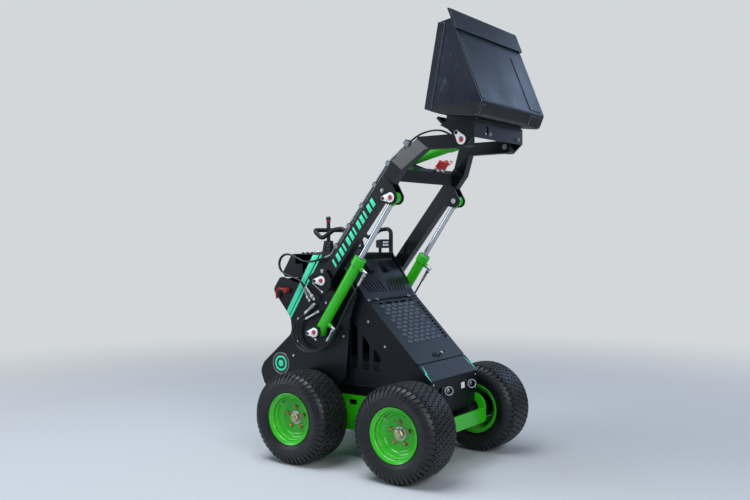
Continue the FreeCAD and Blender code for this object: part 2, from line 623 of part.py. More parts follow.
lid = cut("hood_lid", joined("hood_lid_hinged", [lid] + knuckles), knuckle_bores)
finish(hood_frame(lid))

# Front cowl: two sheets that meet in a ridge between the lid and the top deck, slotted on each side.
document.recompute()
COWL = [  # share of the half width, how far the section stands out
    (-1, 0), (0, 1), (1, 0),
]


def cowl_section(share, out):
    """One upright section of the cowl, as a closed wire."""
    w, y, ridge = size["sheetWall"], share * size["hoodHalf"], out * size["cowlRidge"]
    low = Vector(size["lidHinge"] - 4 - ridge * 0.5, y, size["hoodSum"] - size["lidHinge"] + 4 + ridge * 0.5)
    high = Vector(size["ledgeFront"] + 4 + ridge, y, size["deckTop"] - 32 - size["runGap"])
    inward = Vector(-w, 0, -w * 0.4)
    return Part.makePolygon([low, high, high + inward, low + inward, low])


cowl_sheet = shape_piece("cowl_sheet", Part.makeLoft([cowl_section(share, out) for share, out in COWL], True, True))
COWL_SLOTS = 6
cowl_slots = []
for name, side in (("left", 1), ("right", -1)):
    for i in range(COWL_SLOTS):
        across = f"{side} * (hoodHalf - 55 - {i} * cowlPitch)"
        low, high = (f"deckTop - 182 + {i} * 4", f"deckTop - 92 + {i} * 4")
        slot = plate(f"cowl_slot_{name}_{i}", "YZ", [
            (f"{across} - 4", low), (f"{across} + 4", low), (f"{across} + 4 - {side} * 34", high),
            (f"{across} - 4 - {side} * 34", high),
        ], "ledgeFront - 20", "lidHinge + 20")
        cowl_slots.append(slot)
finish(cut("front_cowl", cowl_sheet, cowl_slots))

# Top deck: a folded tray between the tower plates.
deck = plate("top_deck", "XZ", [
    ("ledgeFront", "deckTop"), ("ledgeFront", "deckTop - 32"), ("ledgeFront - sheetWall", "deckTop - 32"),
    ("ledgeFront - sheetWall", "deckTop - sheetWall"), ("deckRear + sheetWall", "deckTop - sheetWall"),
    ("deckRear + sheetWall", "deckTop - 60"), ("deckRear", "deckTop - 60"), ("deckRear", "deckTop"),
], "-towerHalf + towerPlate", "towerHalf - towerPlate")
eased(deck, ("sheetWall - 1", [0]))
finish(deck)

# Tower plates: each carries the boom pivot and the lift cylinder's base pin.
tower = plate("tower_sheet", "XZ", [
    ("pivotX + 30", "deckTop"), ("deckRear + 147", "deckTop"), ("deckRear + 41", "deckTop - 175"),
    ("deckRear - 101", "deckTop - 132"), ("deckRear - 159", "deckTop - 214"), ("liftX - 252", "liftZ + 64"),
    ("liftX - 245", "liftZ + 4"), ("liftX - 249", "liftZ - 31"), ("liftX - 465", "liftZ - 214"),
    ("liftX - 493", "liftZ - 266"), ("liftX - 458", "frameTop + 7"), ("liftX + 38", "frameTop + 7"),
    ("liftX + 148", "liftZ - 252"), ("liftX + 168", "liftZ - 69"), ("liftX + 178", "liftZ + 68"),
    ("pivotX + 175", "pivotZ - 78"), ("pivotX + 85", "pivotZ + 77"),
], "towerHalf - towerPlate", "towerHalf")
eased(tower, ("towerRound", [3, 4, 10, 15]), ("2 * towerRound", [5, 7, 8, 9, 12]))
ear = plate("tower_ear", "XZ", about([
    (-62, 30), (-22, 66), (30, 60), (64, 10), (58, -40), (20, -72), (-20, -72), (-90, 2),
], "pivotX", "pivotZ"), "earHalf - towerPlate", "earHalf")
eased(ear, ("earRound", [0, 1, 2, 3, 4, 5, 6]))
ear_web = plate("ear_web", "XZ", about([(-90, 2), (-62, 30), (-70, 38), (-98, 10)], "pivotX", "pivotZ"),
                "towerHalf", "earHalf")
disc = rod("lift_disc", "Y", ("liftX", "towerHalf", "liftZ"), "discPlate", "liftDisc")
lug = rod("lift_lug", "Y", ("liftX", "earHalf - towerPlate", "liftZ"), "towerPlate", "liftEye + 6")
lug_tail = plate("lug_tail", "XZ", about([(-10, 34), (-66, 22), (-66, -30), (4, -36)], "liftX", "liftZ"),
                 "earHalf - towerPlate", "earHalf")
lug_web = plate("lug_web", "XZ", about([(-66, 22), (-66, -30), (-48, -32), (-48, 26)], "liftX", "liftZ"),
                "towerHalf", "earHalf")
bores = [
    rod("pivot_bore", "Y", ("pivotX", "towerHalf - 40", "pivotZ"), "earHalf", "pinRadius + pinFit"),
    rod("lift_bore", "Y", ("liftX", "towerHalf - 40", "liftZ"), "earHalf", "pinRadius + pinFit"),
]
tower_left = cut("tower_left", joined("tower_left_solid", [tower, ear, ear_web, disc, lug, lug_tail, lug_web]), bores)
finish(tower_left, mirrored("tower_right", tower_left))

# Rear panel: a sheet that follows the back edge of the tower plates and turns in at the foot.
REAR = [
    ("deckRear - 82", "deckTop - 146"), ("deckRear - 139", "deckTop - 215"), ("liftX - 234", "liftZ + 61"),
    ("liftX - 226", "liftZ + 4"), ("liftX - 231", "liftZ - 36"), ("liftX - 447", "liftZ - 219"),
    ("liftX - 474", "liftZ - 266"), ("liftX - 447", "frameTop + 8"),
]
FOOT = [("liftX - 277", "frameTop + 8"), ("liftX - 277", "frameTop + 15"), ("liftX - 442", "frameTop + 15")]
inside = [(f"{x} + 7", z) for x, z in REAR[-2::-1]]
rear = plate("rear_panel", "XZ", REAR + FOOT + inside, "-towerHalf + towerPlate", "towerHalf - towerPlate")
finish(rear)

# Console box behind the deck, where the operator stands.
console = plate("console_solid", "XZ", [
    ("deckRear", "deckTop"), ("deckRear - 87", "deckTop - 4"), ("deckRear - 160", "deckTop - 119"),
    ("deckRear - 139", "deckTop - 142"), ("deckRear", "deckTop - 142"),
], "-consoleHalf", "consoleHalf")
eased(console, ("consoleRound", [1, 2]))
finish(console)
console.Label = "console_box"

BATTERY_FLOOR = "bellyFloor + sheetWall"
battery = block("battery_pack", ("-batteryLength / 2", "-batteryWidth / 2", BATTERY_FLOOR),
                ("batteryLength / 2", "batteryWidth / 2", f"{BATTERY_FLOOR} + batteryTall"))
finish(battery)

# Handlebar, joysticks and work lamps on the deck.
BAR = [  # ahead of the deck's front edge, above the deck
    (11, 0), (11, 147), (-68, 138), (-106, 115), (-157, 88), (-217, 137),
]
bar_side = [(size["ledgeFront"] + ahead, size["barHalf"], size["deckTop"] + up) for ahead, up in BAR]
bar_points = bar_side + [(x, -y, z) for x, y, z in reversed(bar_side)]
finish(shape_piece("handlebar", tube_along(bar_points, size["barRadius"], 30)))


def joystick(name, side):
    """A bellows boot with its stick and a rounded knob."""
    x, y = "deckRear + stickBack", f"{side} * stickHalf"
    bellows = document.addObject("Part::Cone", "bellows_" + name)
    bind(bellows, Radius1="bootRadius", Radius2="bootRadius * 0.68", Height="bootTall")
    place(bellows, x, y, "deckTop")
    stick = rod("stick_" + name, "Z", (x, y, "deckTop + bootTall - 10"), "stickTall - bootTall - 10", "11")
    knob = document.addObject("Part::Sphere", "knob_" + name)
    bind(knob, Radius="15")
    place(knob, x, y, "deckTop + stickTall - 15")
    return joined("joystick_" + name, [bellows, stick, knob])


finish(group("joysticks", [joystick("left", 1), joystick("right", -1)]))


def lamp(name, side):
    """A square work lamp on a short foot."""
    case = plate("lamp_case_" + name, "XZ", [
        ("ledgeFront - 10", "deckTop + 32"), ("ledgeFront + 32", "deckTop + 28"), ("ledgeFront + 32", "deckTop + 82"),
        ("ledgeFront - 10", "deckTop + 76"),
    ], f"{side} * lampHalf - 38", f"{side} * lampHalf + 38")
    eased(case, ("5", [0, 1, 2, 3]))
    foot = block("lamp_foot_" + name, ("ledgeFront - 9", f"{side} * lampHalf - 12", "deckTop"),
                 ("ledgeFront - 4", f"{side} * lampHalf + 12", "deckTop + 34"))
    return joined("lamp_" + name, [case, foot])


finish(group("work_lamps", [lamp("left", 1), lamp("right", -1)]))

# Battery isolator: a bent red lever on a round boss at the right tower plate.
LEVER = [  # x, out from the tower plate, z
    (-563, 16, 945), (-606, 24, 955), (-628, 24, 938), (-630, 18, 896),
]
lever = tube_along([(x, -size["towerHalf"] - out, z) for x, out, z in LEVER], 7, 12)
boss = Part.makeCylinder(15, 26, Vector(-563, -size["towerHalf"], 945), Vector(0, -1, 0))
finish(shape_piece("isolator_handle", lever.fuse(boss).removeSplitter()))


# Boom: one arm is made in its own frame, x along the arm from the pivot and z above it.
def arm_frame(piece):
    piece.Placement = Placement(Vector(), Rotation(Vector(0, -1, 0), size["armAngle"]))
    bind(piece, Placement__Rotation__Angle="armAngle")
    return place(piece, "pivotX", "0", "pivotZ")


def corner_along(sign):
    """Where the main box and the tip meet on the upper (1) or lower (-1) side."""
    return f"boomLength + {sign} * (tipDepth / 2 - armDepth / 2 * cos(tipBend)) / sin(tipBend)"


def tip_corner(along, above):
    """A corner of the tip: along past its pivot, above its centre line."""
    return (f"tipX + ({along}) * cos(tipBend) + ({above}) * sin(tipBend)",
            f"tipZ - ({along}) * sin(tipBend) + ({above}) * cos(tipBend)")


side_view = plate("arm_side_view", "XZ", [
    ("-55", "-armDepth / 2"), (corner_along(-1), "-armDepth / 2"), tip_corner("34", "-tipDepth / 2"),
    tip_corner("34", "tipDepth / 2"), (corner_along(1), "armDepth / 2"), ("-55", "armDepth / 2"),
], "tipInner - 20", "armInner + armWidth + 20")
eased(side_view, ("armRound", [0, 2, 3, 5]))
plan_view = plate("arm_plan_view", "XY", [
    ("-80", "armInner"), ("taperStart", "armInner"), ("boomLength", "tipInner"), ("boomLength + 400", "tipInner"),
    ("boomLength + 400", "tipInner + armWidth"), ("boomLength", "tipInner + armWidth"),
    ("taperStart", "armInner + armWidth"), ("-80", "armInner + armWidth"),
], "-400", "100")
arm_box = common("arm_box", side_view, plan_view)
clevis_pieces = []
for name, low in (("inner", "armInner - doubler"), ("outer", "armInner + armWidth")):
    clevis = plate("clevis_" + name, "XZ", [
        ("liftTopS - 64", "armDepth / 2 - 5"), ("liftTopS + 62", "armDepth / 2 - 5"),
        ("liftTopS + 62", "liftTopN + 50"), ("liftTopS + 34", "liftTopN - 14"), ("liftTopS - 34", "liftTopN - 14"),
        ("liftTopS - 64", "liftTopN + 40"),
    ], low, f"{low} + doubler")
    clevis_pieces.append(eased(clevis, ("earRound", [0, 1, 2, 5])))
    clevis_pieces.append(rod("clevis_boss_" + name, "Y", ("liftTopS", low, "liftTopN"), "doubler", "38"))
arm_bores = [
    rod("arm_pivot_bore", "Y", ("0", "tipInner - 20", "0"), "armInner", "pinRadius + pinFit"),
    rod("arm_lift_bore", "Y", ("liftTopS", "tipInner - 20", "liftTopN"), "armInner", "pinRadius + pinFit"),
    rod("arm_tip_bore", "Y", ("tipX", "tipInner - 20", "tipZ"), "armInner", "pinRadius + pinFit"),
]
arm = arm_frame(cut("boom_arm_left", joined("arm_solid", [arm_box] + clevis_pieces), arm_bores))
finish(arm, mirrored("boom_arm_right", arm))

# Cross member between the arms, with the tilt cylinder's two base lugs and two auxiliary couplings.
cross = plate("cross_beam", "XZ", [("beamFrom", "-21"), ("beamTo", "3"), ("beamTo", "38"), ("beamFrom", "38")],
              "-armInner", "armInner")
tilt_lugs = []
for name, low in (("left", "lugGap / 2"), ("right", "-lugGap / 2 - lugPlate")):
    tilt_lug = plate("tilt_lug_" + name, "XZ", [
        ("beamFrom + 2", "20"), ("beamTo", "20"), ("tiltS + 30", "tiltRise + 10"), ("tiltS + 30", "tiltRise + 30"),
        ("tiltS - 30", "tiltRise + 30"), ("tiltS - 30", "tiltRise + 10"),
    ], low, f"{low} + lugPlate")
    tilt_lugs.append(eased(tilt_lug, ("18", [3, 4])))
couplings = []
for name, y in (("inner", "armInner / 4"), ("outer", "armInner / 4 + couplingPitch")):
    couplings.append(rod("coupling_" + name, "X", ("beamTo - 2", y, "12"), "couplingLong", "couplingRadius"))
    couplings.append(rod("coupling_collar_" + name, "X", ("beamTo + couplingLong / 2", y, "12"), "16",
                         "couplingRadius + 3"))
tilt_bore = rod("tilt_lug_bore", "Y", ("tiltS", "-80", "tiltRise"), "160", "pinRadius + pinFit")
finish(arm_frame(cut("boom_cross_member", joined("cross_solid", [cross] + tilt_lugs + couplings), [tilt_bore])))

# Hydraulic hoses: each route runs from one ferrule's end to the other's, straight runs with rounded turns.
HOSES = {  # name: points (x, out from the tower plate's face, z) on the right side
    "boom_outer": [
        (-416, 22, 962), (-441.6, 22, 1007.3), (-524, 22, 1028), (-586, 22, 1050.4),
        (-606.2, 22, 1091.8), (-592, 23, 1135.5), (-547.8, 24, 1159), (-478, 25, 1141.6),
        (-409.5, 26, 1111), (-324.7, 27, 1117), (-244, 27, 1140),
    ],
    "boom_inner": [
        (-393, 37, 971), (-426.7, 37, 1007.9), (-504, 46, 1028.6), (-568.9, 49, 1054.8),
        (-587.6, 50, 1096.8), (-571.9, 50, 1140), (-527.3, 50, 1162.7), (-458.1, 49, 1142.8),
        (-394.7, 49, 1113.2), (-313, 49, 1120.3), (-236.1, 49, 1142.3),
    ],
    "lift_right_base": [
        (-406, 20, 786), (-446.5, 20, 766.4), (-474, 21, 727), (-470, 23, 676), (-440, 27, 632),
        (-386, 33, 606), (-322, 39, 611), (-261.9, 42.5, 635.1), (-236.24, 42.5, 672.06),
    ],
    "lift_right_rod": [
        (-412, 22, 816), (-449.3, 22, 785.8), (-478, 47, 741), (-482, 55, 686), (-452, 58, 636),
        (-398, 58, 604), (-330, 58, 600), (-262, 58, 622), (-210, 55, 668), (-139.9, 47, 777.5),
        (-82.82, 42.5, 893.02), (-15.53, 42.5, 989.94),
    ],
}


def at_tower(point):
    """A point of a hose's table in the loader's frame."""
    x, out, z = point
    return Vector(x, -size["towerHalf"] - out, z)


ROUTES = {name: [at_tower(point) for point in points] for name, points in HOSES.items()}

# Steel pipes along the right arm's top, held by clamps; each starts in the ferrule of a boom hose.
PIPE_RISE = 62
FERRULE_LONG = 38
CLAMPS = 5
CLAMP_START, CLAMP_SHORT = 190, 40  # first clamp from the boom pivot, last one short of the taper


def in_arm(point):
    """A point of the raised arm's side, measured along the arm and above it."""
    angle = math.radians(size["armAngle"])
    x, z = point.x - size["pivotX"], point.z - size["pivotZ"]
    return Vector(x * math.cos(angle) + z * math.sin(angle), point.y, z * math.cos(angle) - x * math.sin(angle))


pipe_shapes = []
for name in ("boom_outer", "boom_inner"):
    before, end = ROUTES[name][-2:]
    start = in_arm(end)
    beyond = in_arm(end + (end - before).normalize() * FERRULE_LONG)
    y = end.y
    taper, bend = size["taperStart"], size["boomLength"]
    line = [tuple(start), tuple(beyond), (210, y, PIPE_RISE), (taper - 30, y, PIPE_RISE)]
    line += [(bend - 68, y + 50, PIPE_RISE), (bend - 36, y + 70, PIPE_RISE)]
    pipe_shapes.append(tube_along(line, size["pipeRadius"], 25))
    pipe_shapes.append(tube_along(line[:2], size["ferruleRadius"], 25))
clamp_step = (size["taperStart"] - CLAMP_SHORT - CLAMP_START) / (CLAMPS - 1)
for i in range(CLAMPS):
    foot = Vector(CLAMP_START + i * clamp_step, -size["armInner"] - 46, size["armDepth"] / 2)
    pipe_shapes.append(Part.makeBox(22, 46, PIPE_RISE + 9 - size["armDepth"] / 2, foot))
block_from = Vector(size["boomLength"] - 58, -size["armInner"] + 30, size["armDepth"] / 2)
pipe_shapes.append(Part.makeBox(26, 50, PIPE_RISE + 12 - size["armDepth"] / 2, block_from - Vector(0, 25, 0)))
pipes = shape_piece("arm_pipes", pipe_shapes[0].multiFuse(pipe_shapes[1:]).removeSplitter())
finish(arm_frame(pipes))

document.recompute()

# Pins: short studs, each held by a drop-shaped keeper plate with a bolt in its tail.
KEEPER_LONG = 46


def pin(name, x, z, low, high, turn):
    """A pin from y = low to high with its keeper outside it; turn is the keeper's direction in degrees."""
    across, up = math.cos(math.radians(turn)), math.sin(math.radians(turn))
    pieces = [
        rod("pin_shank_" + name, "Y", (x, low, z), f"{high} + keeperPlate + 3 - ({low})", "pinRadius"),
        rod("keeper_head_" + name, "Y", (x, high, z), "keeperPlate", "pinRadius + 12"),
        rod("keeper_tail_" + name, "Y", (f"{x} + {across * KEEPER_LONG:.3f}", high, f"{z} + {up * KEEPER_LONG:.3f}"),
            "keeperPlate", "pinRadius - 3"),
    ]
    corners = [(0, 26.5), (KEEPER_LONG, 11.6), (KEEPER_LONG, -11.6), (0, -26.5)]
    web = [(round(a * across - h * up, 3), round(a * up + h * across, 3)) for a, h in corners]
    pieces.append(plate("keeper_web_" + name, "XZ", about(web, x, z), high, f"{high} + keeperPlate"))
    return joined("pin_" + name, pieces)


def both_sides(name, piece):
    """A piece and its twin on the other side."""
    return [piece, mirrored("pin_" + name + "_twin", piece)]


pivot = pin("pivot", "pivotX", "pivotZ", "towerHalf - towerPlate", "earHalf", 183)
lift_base = pin("lift_base", "liftX", "liftZ", "towerHalf - towerPlate", "earHalf", 190)
hinge_pins = []
for name, low in HINGES:
    pieces = [rod("hinge_pin_" + name, "Y", ("0", f"{low} - 16", "knuckleRadius"), "knuckleLong + 32", "knuckleRadius / 2")]
    for end, start in (("a", f"{low} - 16"), ("b", f"{low} + knuckleLong + 0.5")):
        pieces.append(rod(f"hinge_end_{name}_{end}", "Y", ("0", start, "knuckleRadius + runGap"), "15.5", "knuckleRadius"))
        pieces.append(block(f"hinge_leaf_{name}_{end}", ("-12", start, "1"), ("0", f"{start} + 15.5", "4")))
    hinge_pins.append(hood_frame(joined("hood_hinge_" + name, pieces)))
finish(group("frame_pins", both_sides("pivot", pivot) + both_sides("lift_base", lift_base) + hinge_pins))

lift_top = pin("lift_top", "liftTopX", "liftTopZ", "armInner + armWidth", "armInner + armWidth + doubler", 184)
lift_top_inner = rod("pin_lift_top_inner", "Y", ("liftTopX", "armInner - doubler - 4", "liftTopZ"),
                     "doubler + 4", "pinRadius")
coupler_pin = pin("coupler", "couplerX", "couplerZ", "tipInner", "cheekInner + cheekPlate", 128)
tilt_pin = rod("pin_tilt_base", "Y", ("tiltBaseX", "-lugGap / 2 - lugPlate - 3", "tiltBaseZ"),
               "lugGap + 2 * lugPlate + 6", "pinRadius")
finish(group("boom_pins", both_sides("lift_top", lift_top) + both_sides("lift_top_inner", lift_top_inner)
             + both_sides("coupler", coupler_pin) + [tilt_pin]))


# Cylinders: each is drawn along its own x axis from the base pin, then laid on its line.
def on_line(piece, start, end, y):
    """Lay a piece drawn along x on the line from one pin to another."""
    piece.Placement = Placement(Vector(), Rotation(Vector(0, -1, 0), 30))
    bind(piece, Placement__Rotation__Angle=f"atan2({end[1]} - {start[1]}; {end[0]} - {start[0]})")
    return place(piece, start[0], y, start[1])


def cylinder_pair(tag, sizes, start, end, y, ports=()):
    """Barrel and rod from the base pin at start to the rod's eye at end; ports stand out below the barrel."""
    barrel_r, bore_r, gland_r, closed, rod_r, eye_r, eye_w, base_w, rod_from = sizes
    length = f"sqrt(({end[0]} - {start[0]})^2 + ({end[1]} - {start[1]})^2)"
    outside = joined(tag + "_barrel_solid", [
        rod(tag + "_base_eye", "Y", ("0", f"-({base_w}) / 2", "0"), base_w, eye_r),
        rod(tag + "_tube", "X", ("10", "0", "0"), f"{closed} - 20", barrel_r),
        rod(tag + "_gland", "X", (f"{closed} - 45", "0", "0"), "45", gland_r),
    ] + [rod(f"{tag}_{port}", "Z", (port, "0", "-portHeight"), "portHeight", "ferruleRadius + 5") for port in ports])
    hollow = [
        rod(tag + "_bore", "X", (f"{eye_r} + 8", "0", "0"), f"{closed} - 45 - {eye_r} - 8", bore_r),
        rod(tag + "_gland_bore", "X", (f"{closed} - 50", "0", "0"), "60", f"{rod_r} + pinFit"),
        rod(tag + "_base_bore", "Y", ("0", "-60", "0"), "120", "pinRadius + pinFit"),
    ]
    barrel = cut(tag + "_barrel", outside, hollow)
    rod_solid = joined(tag + "_rod_solid", [
        rod(tag + "_rod_bar", "X", (rod_from, "0", "0"), f"{length} - {rod_from} - 8", rod_r),
        rod(tag + "_piston", "X", (rod_from, "0", "0"), "24", f"{bore_r} - 0.1"),
        rod(tag + "_rod_eye", "Y", (length, f"-({eye_w}) / 2", "0"), eye_w, eye_r),
    ])
    rod_piece = cut(tag + "_rod", rod_solid, [
        rod(tag + "_rod_eye_bore", "Y", (length, "-60", "0"), "120", "pinRadius + pinFit")])
    return on_line(barrel, start, end, y), on_line(rod_piece, start, end, y)


# barrel, bore, gland, closed length, rod, eye, eye width, base eye width, start of the rod inside
LIFT = ("liftBarrel", "liftBore", "liftGland", "liftClosed", "liftRod", "liftEye", "liftEyeWidth", "armWidth", "405")
TILT = ("tiltBarrel", "tiltBore", "tiltGland", "tiltClosed", "tiltRod", "tiltEye", "tiltEyeWidth", "lugGap - 2", "37")
LIFT_LINE = (("liftX", "liftZ"), ("liftTopX", "liftTopZ"))
for side_name, sign in (("left", 1), ("right", -1)):
    middle = f"{sign} * armMiddle"
    barrel, rod_piece = cylinder_pair("lift_" + side_name, LIFT, *LIFT_LINE, middle, ("basePort", "rodPort"))
    finish(barrel, rod_piece)
    barrel.Label, rod_piece.Label = "lift_barrel_" + side_name, "lift_rod_" + side_name
    fittings = []
    for port in ("basePort", "rodPort"):
        tag = f"{port}_{side_name}"
        elbow = rod("elbow_" + tag, "Z", (port, "0", "-portReach - ferruleRadius - 2"),
                    "portReach + ferruleRadius + 2 - portHeight", "ferruleRadius + 1")
        ferrule = rod("ferrule_" + tag, "X", (f"{port} - portBack", "0", "-portReach"), "portBack", "ferruleRadius")
        fittings.append(joined("fitting_" + tag, [elbow, ferrule]))
    finish(on_line(group("port_fittings_" + side_name, fittings), *LIFT_LINE, middle))
tilt_line = (("tiltBaseX", "tiltBaseZ"), ("tiltPinX", "tiltPinZ"))
barrel, rod_piece = cylinder_pair("tilt", TILT, *tilt_line, "0")
barrel.Label, rod_piece.Label = "tilt_barrel", "tilt_rod"
finish(barrel, rod_piece)

# Quick coupler: two cheek plates outside the arm tips, an attach plate, a front ledge and the tilt lugs.
cheek = plate("cheek_left", "XZ", about([
    (-133, 84), (47, 84), (74, 53), (69, 9), (20, -36), (-20, -36), (-59, 35), (-83, 58),
], "couplerX", "couplerZ"), "cheekInner", "cheekInner + cheekPlate")
eased(cheek, ("earRound", [2, 3, 6]), ("14", [4, 5]))
attach = plate("attach_plate", "XZ", about([
    (-151, 120), (-117, 84), (74, 84), (74, 96), (-111, 96), (-139, 128),
], "couplerX", "couplerZ"), "-cheekInner - cheekPlate", "cheekInner + cheekPlate")
ledge = plate("coupler_ledge", "YZ", [
    ("-cheekInner - cheekPlate", "couplerZ + 9"), ("cheekInner + cheekPlate", "couplerZ + 9"),
    ("cheekInner + cheekPlate", "couplerZ + 96"), ("-cheekInner - cheekPlate", "couplerZ + 96"),
], "couplerX + 62", "couplerX + 74")
eased(ledge, ("8", [0, 1]))
ledge_slot = plate("ledge_slot", "YZ", [
    ("-156", "couplerZ + 30"), ("-124", "couplerZ + 30"), ("-124", "couplerZ + 72"), ("-156", "couplerZ + 72"),
], "couplerX + 60", "couplerX + 76")
eased(ledge_slot, ("6", [0, 1, 2, 3]))
LUG_SIDES = [("left", "lugGap / 2", "lugGap / 2 - 4"), ("right", "-lugGap / 2 - lugPlate", "-lugGap / 2 - lugPlate - 6")]
coupler_lugs = []
for name, low, stub in LUG_SIDES:
    lug = plate("coupler_lug_" + name, "XZ", about([
        (-26, -10), (26, -10), (60, 66), (20, 82), (-2, 96), (-26, 20),
    ], "tiltPinX", "tiltPinZ"), low, f"{low} + lugPlate")
    coupler_lugs.append(eased(lug, ("12", [0, 1])))
coupler_bores = [
    rod("cheek_bore", "Y", ("couplerX", "-400", "couplerZ"), "800", "pinRadius + pinFit"),
    rod("coupler_lug_bore", "Y", ("tiltPinX", "-90", "tiltPinZ"), "180", "pinRadius + pinFit"),
]
frame = joined("coupler_solid", [cheek, mirrored("cheek_right", cheek), attach, ledge] + coupler_lugs)
finish(cut("coupler_frame", frame, [ledge_slot] + coupler_bores))
stubs = [
    joined("stub_" + name, [
        rod("stub_shank_" + name, "Y", ("tiltPinX", low, "tiltPinZ"), "lugPlate", "pinRadius"),
        rod("stub_head_" + name, "Y", ("tiltPinX", f"{low} + {shift}", "tiltPinZ"), "6", "pinRadius + 8"),
    ]) for name, low, shift in (("left", "lugGap / 2", "lugPlate"), ("right", "-lugGap / 2 - lugPlate", "(-6)"))
]
finish(group("coupler_pins", stubs))

# Bucket: a bent sheet between two side plates with wear strips, on a hanger with four ribs.
SHELL = [  # outside line of the sheet from the blade round the heel to the back lip, from the coupler pivot
    (-7, 597), (163, 172), (133, 100), (-76, 125), (-117, 138), (-165, 156),
]
MOUTH = (-81, 585)


def shifted(points, distance):
    """The same open line moved to its left by a distance, with mitred corners."""
    moved = []
    for i, (x, z) in enumerate(points):
        sides = []
        for a, b in ((i - 1, i), (i, i + 1)):
            if 0 <= a and b < len(points):
                dx, dz = points[b][0] - points[a][0], points[b][1] - points[a][1]
                length = math.hypot(dx, dz)
                sides.append((-dz / length, dx / length))
        nx, nz = sum(n[0] for n in sides) / len(sides), sum(n[1] for n in sides) / len(sides)
        scale = distance / (nx * nx + nz * nz)
        moved.append((round(x + nx * scale, 3), round(z + nz * scale, 3)))
    return moved


def at_coupler(label, points, start, end):
    """A plate whose outline is measured from the coupler pivot."""
    return plate(label, "XZ", about(points, "couplerX", "couplerZ"), start, end)


shell = at_coupler("bucket_sheet", SHELL + shifted(SHELL, -size["bucketWall"])[::-1], "-bucketHalf", "bucketHalf")
eased(shell, ("heelRound + bucketWall", [1, 2]), ("heelRound", [10, 9]))
bucket_pieces = [shell]
for name, sign in (("left", 1), ("right", -1)):
    inner, outer = f"{sign} * (bucketHalf - bucketWall)", f"{sign} * bucketHalf"
    low, high = (inner, outer) if sign > 0 else (outer, inner)
    cheek = at_coupler("bucket_side_" + name, SHELL + [MOUTH], low, high)
    bucket_pieces.append(eased(cheek, ("heelRound + bucketWall", [1, 2])))
    edge_in, edge_out = shifted([SHELL[-1], MOUTH], -1), shifted([SHELL[-1], MOUTH], -size["stripWidth"])
    reach = f"{sign} * (bucketHalf + stripWall)"
    low, high = (outer, reach) if sign > 0 else (reach, outer)
    strip = at_coupler("bucket_strip_" + name, edge_in + edge_out[::-1], low, high)
    bucket_pieces.append(eased(strip, ("8", [2, 3])))
bucket_pieces.append(at_coupler("bucket_hanger", [
    (-111, "96 + runGap"), (74, "96 + runGap"), (74, "104 + runGap"), (-115, "104 + runGap"),
], "-hangerHalf", "hangerHalf"))
RIBS = [("left", "hangerHalf - ribPlate"), ("middle_left", "ribInner - ribPlate / 2"),
        ("middle_right", "-ribInner - ribPlate / 2"), ("right", "-hangerHalf")]
for name, low in RIBS:
    bucket_pieces.append(at_coupler("hanger_rib_" + name, [
        (-103, 102), (73, 102), (73, 109), (-76, 127), (-98, 134),
    ], low, f"{low} + ribPlate"))
finish(joined("bucket_shell", bucket_pieces))

# Cutting edge: a plate bolted to the outside of the floor sheet, its front bevelled.
FLOOR_UP = (SHELL[0][0] - SHELL[1][0], SHELL[0][1] - SHELL[1][1])
floor_length = math.hypot(*FLOOR_UP)
along_x, along_z = FLOOR_UP[0] / floor_length, FLOOR_UP[1] / floor_length


def floor_point(along, out):
    """A point along the floor sheet past its blade end, and out from its outside face."""
    x, z = SHELL[0]
    return (f"{x} + ({along}) * {along_x:.6f} + ({out}) * {along_z:.6f}",
            f"{z} + ({along}) * {along_z:.6f} - ({out}) * {along_x:.6f}")


finish(at_coupler("bucket_cutting_edge", [
    floor_point("-edgeBehind", "0.2"), floor_point("edgeAhead", "0.2"),
    floor_point("edgeAhead - 7", "0.2 + edgeWall"), floor_point("-edgeBehind", "0.2 + edgeWall"),
], "-edgeHalf", "edgeHalf"))

def turn_radii(points):
    """The radius at each turn of a hose's route."""
    radii = []
    for before, here, after in zip(points, points[1:], points[2:]):
        back, ahead = before - here, after - here
        half = (math.pi - back.getAngle(ahead)) / 2
        radii.append(round(0.45 * min(back.Length, ahead.Length) / math.tan(half)))
    return radii


def hose(label, route):
    """A hose along its route, each turn as large as its two runs allow."""
    radii = turn_radii(route)
    shape = tube_along(route, size["hoseRadius"], max(radii) + 1)
    length = shape.Volume / (math.pi * size["hoseRadius"] ** 2)
    print(label, "turn radii", radii, "length", round(length))
    return shape_piece("hose_" + label, shape)


hoses = {name: hose(name, route) for name, route in ROUTES.items()}
finish(*hoses.values())
for end in ("base", "rod"):
    finish(mirrored("hose_lift_left_" + end, hoses["lift_right_" + end]))

# Fittings in the tower plate: an elbow from the plate and a ferrule to the hose's first point.
TAPS = [  # hose, x and z of the elbow
    ("boom_outer", -377, 893), ("boom_inner", -331, 903), ("lift_right_base", -315, 830), ("lift_right_rod", -343, 872),
]
taps = {}
for name, x, z in TAPS:
    last = ROUTES[name][0]
    start = Vector(x, last.y, z)
    elbow = Part.makeCylinder(size["ferruleRadius"] + 2, -start.y - size["towerHalf"],
                              Vector(x, -size["towerHalf"], z), Vector(0, -1, 0))
    bend = Part.makeSphere(size["ferruleRadius"] + 2, start)
    ferrule = Part.makeCylinder(size["ferruleRadius"], (last - start).Length, start, last - start)
    taps[name] = shape_piece("tap_" + name, elbow.multiFuse([bend, ferrule]))
twins = [mirrored("tap_left_" + end, taps["lift_right_" + end]) for end in ("base", "rod")]
finish(group("hose_fittings", list(taps.values()) + twins))

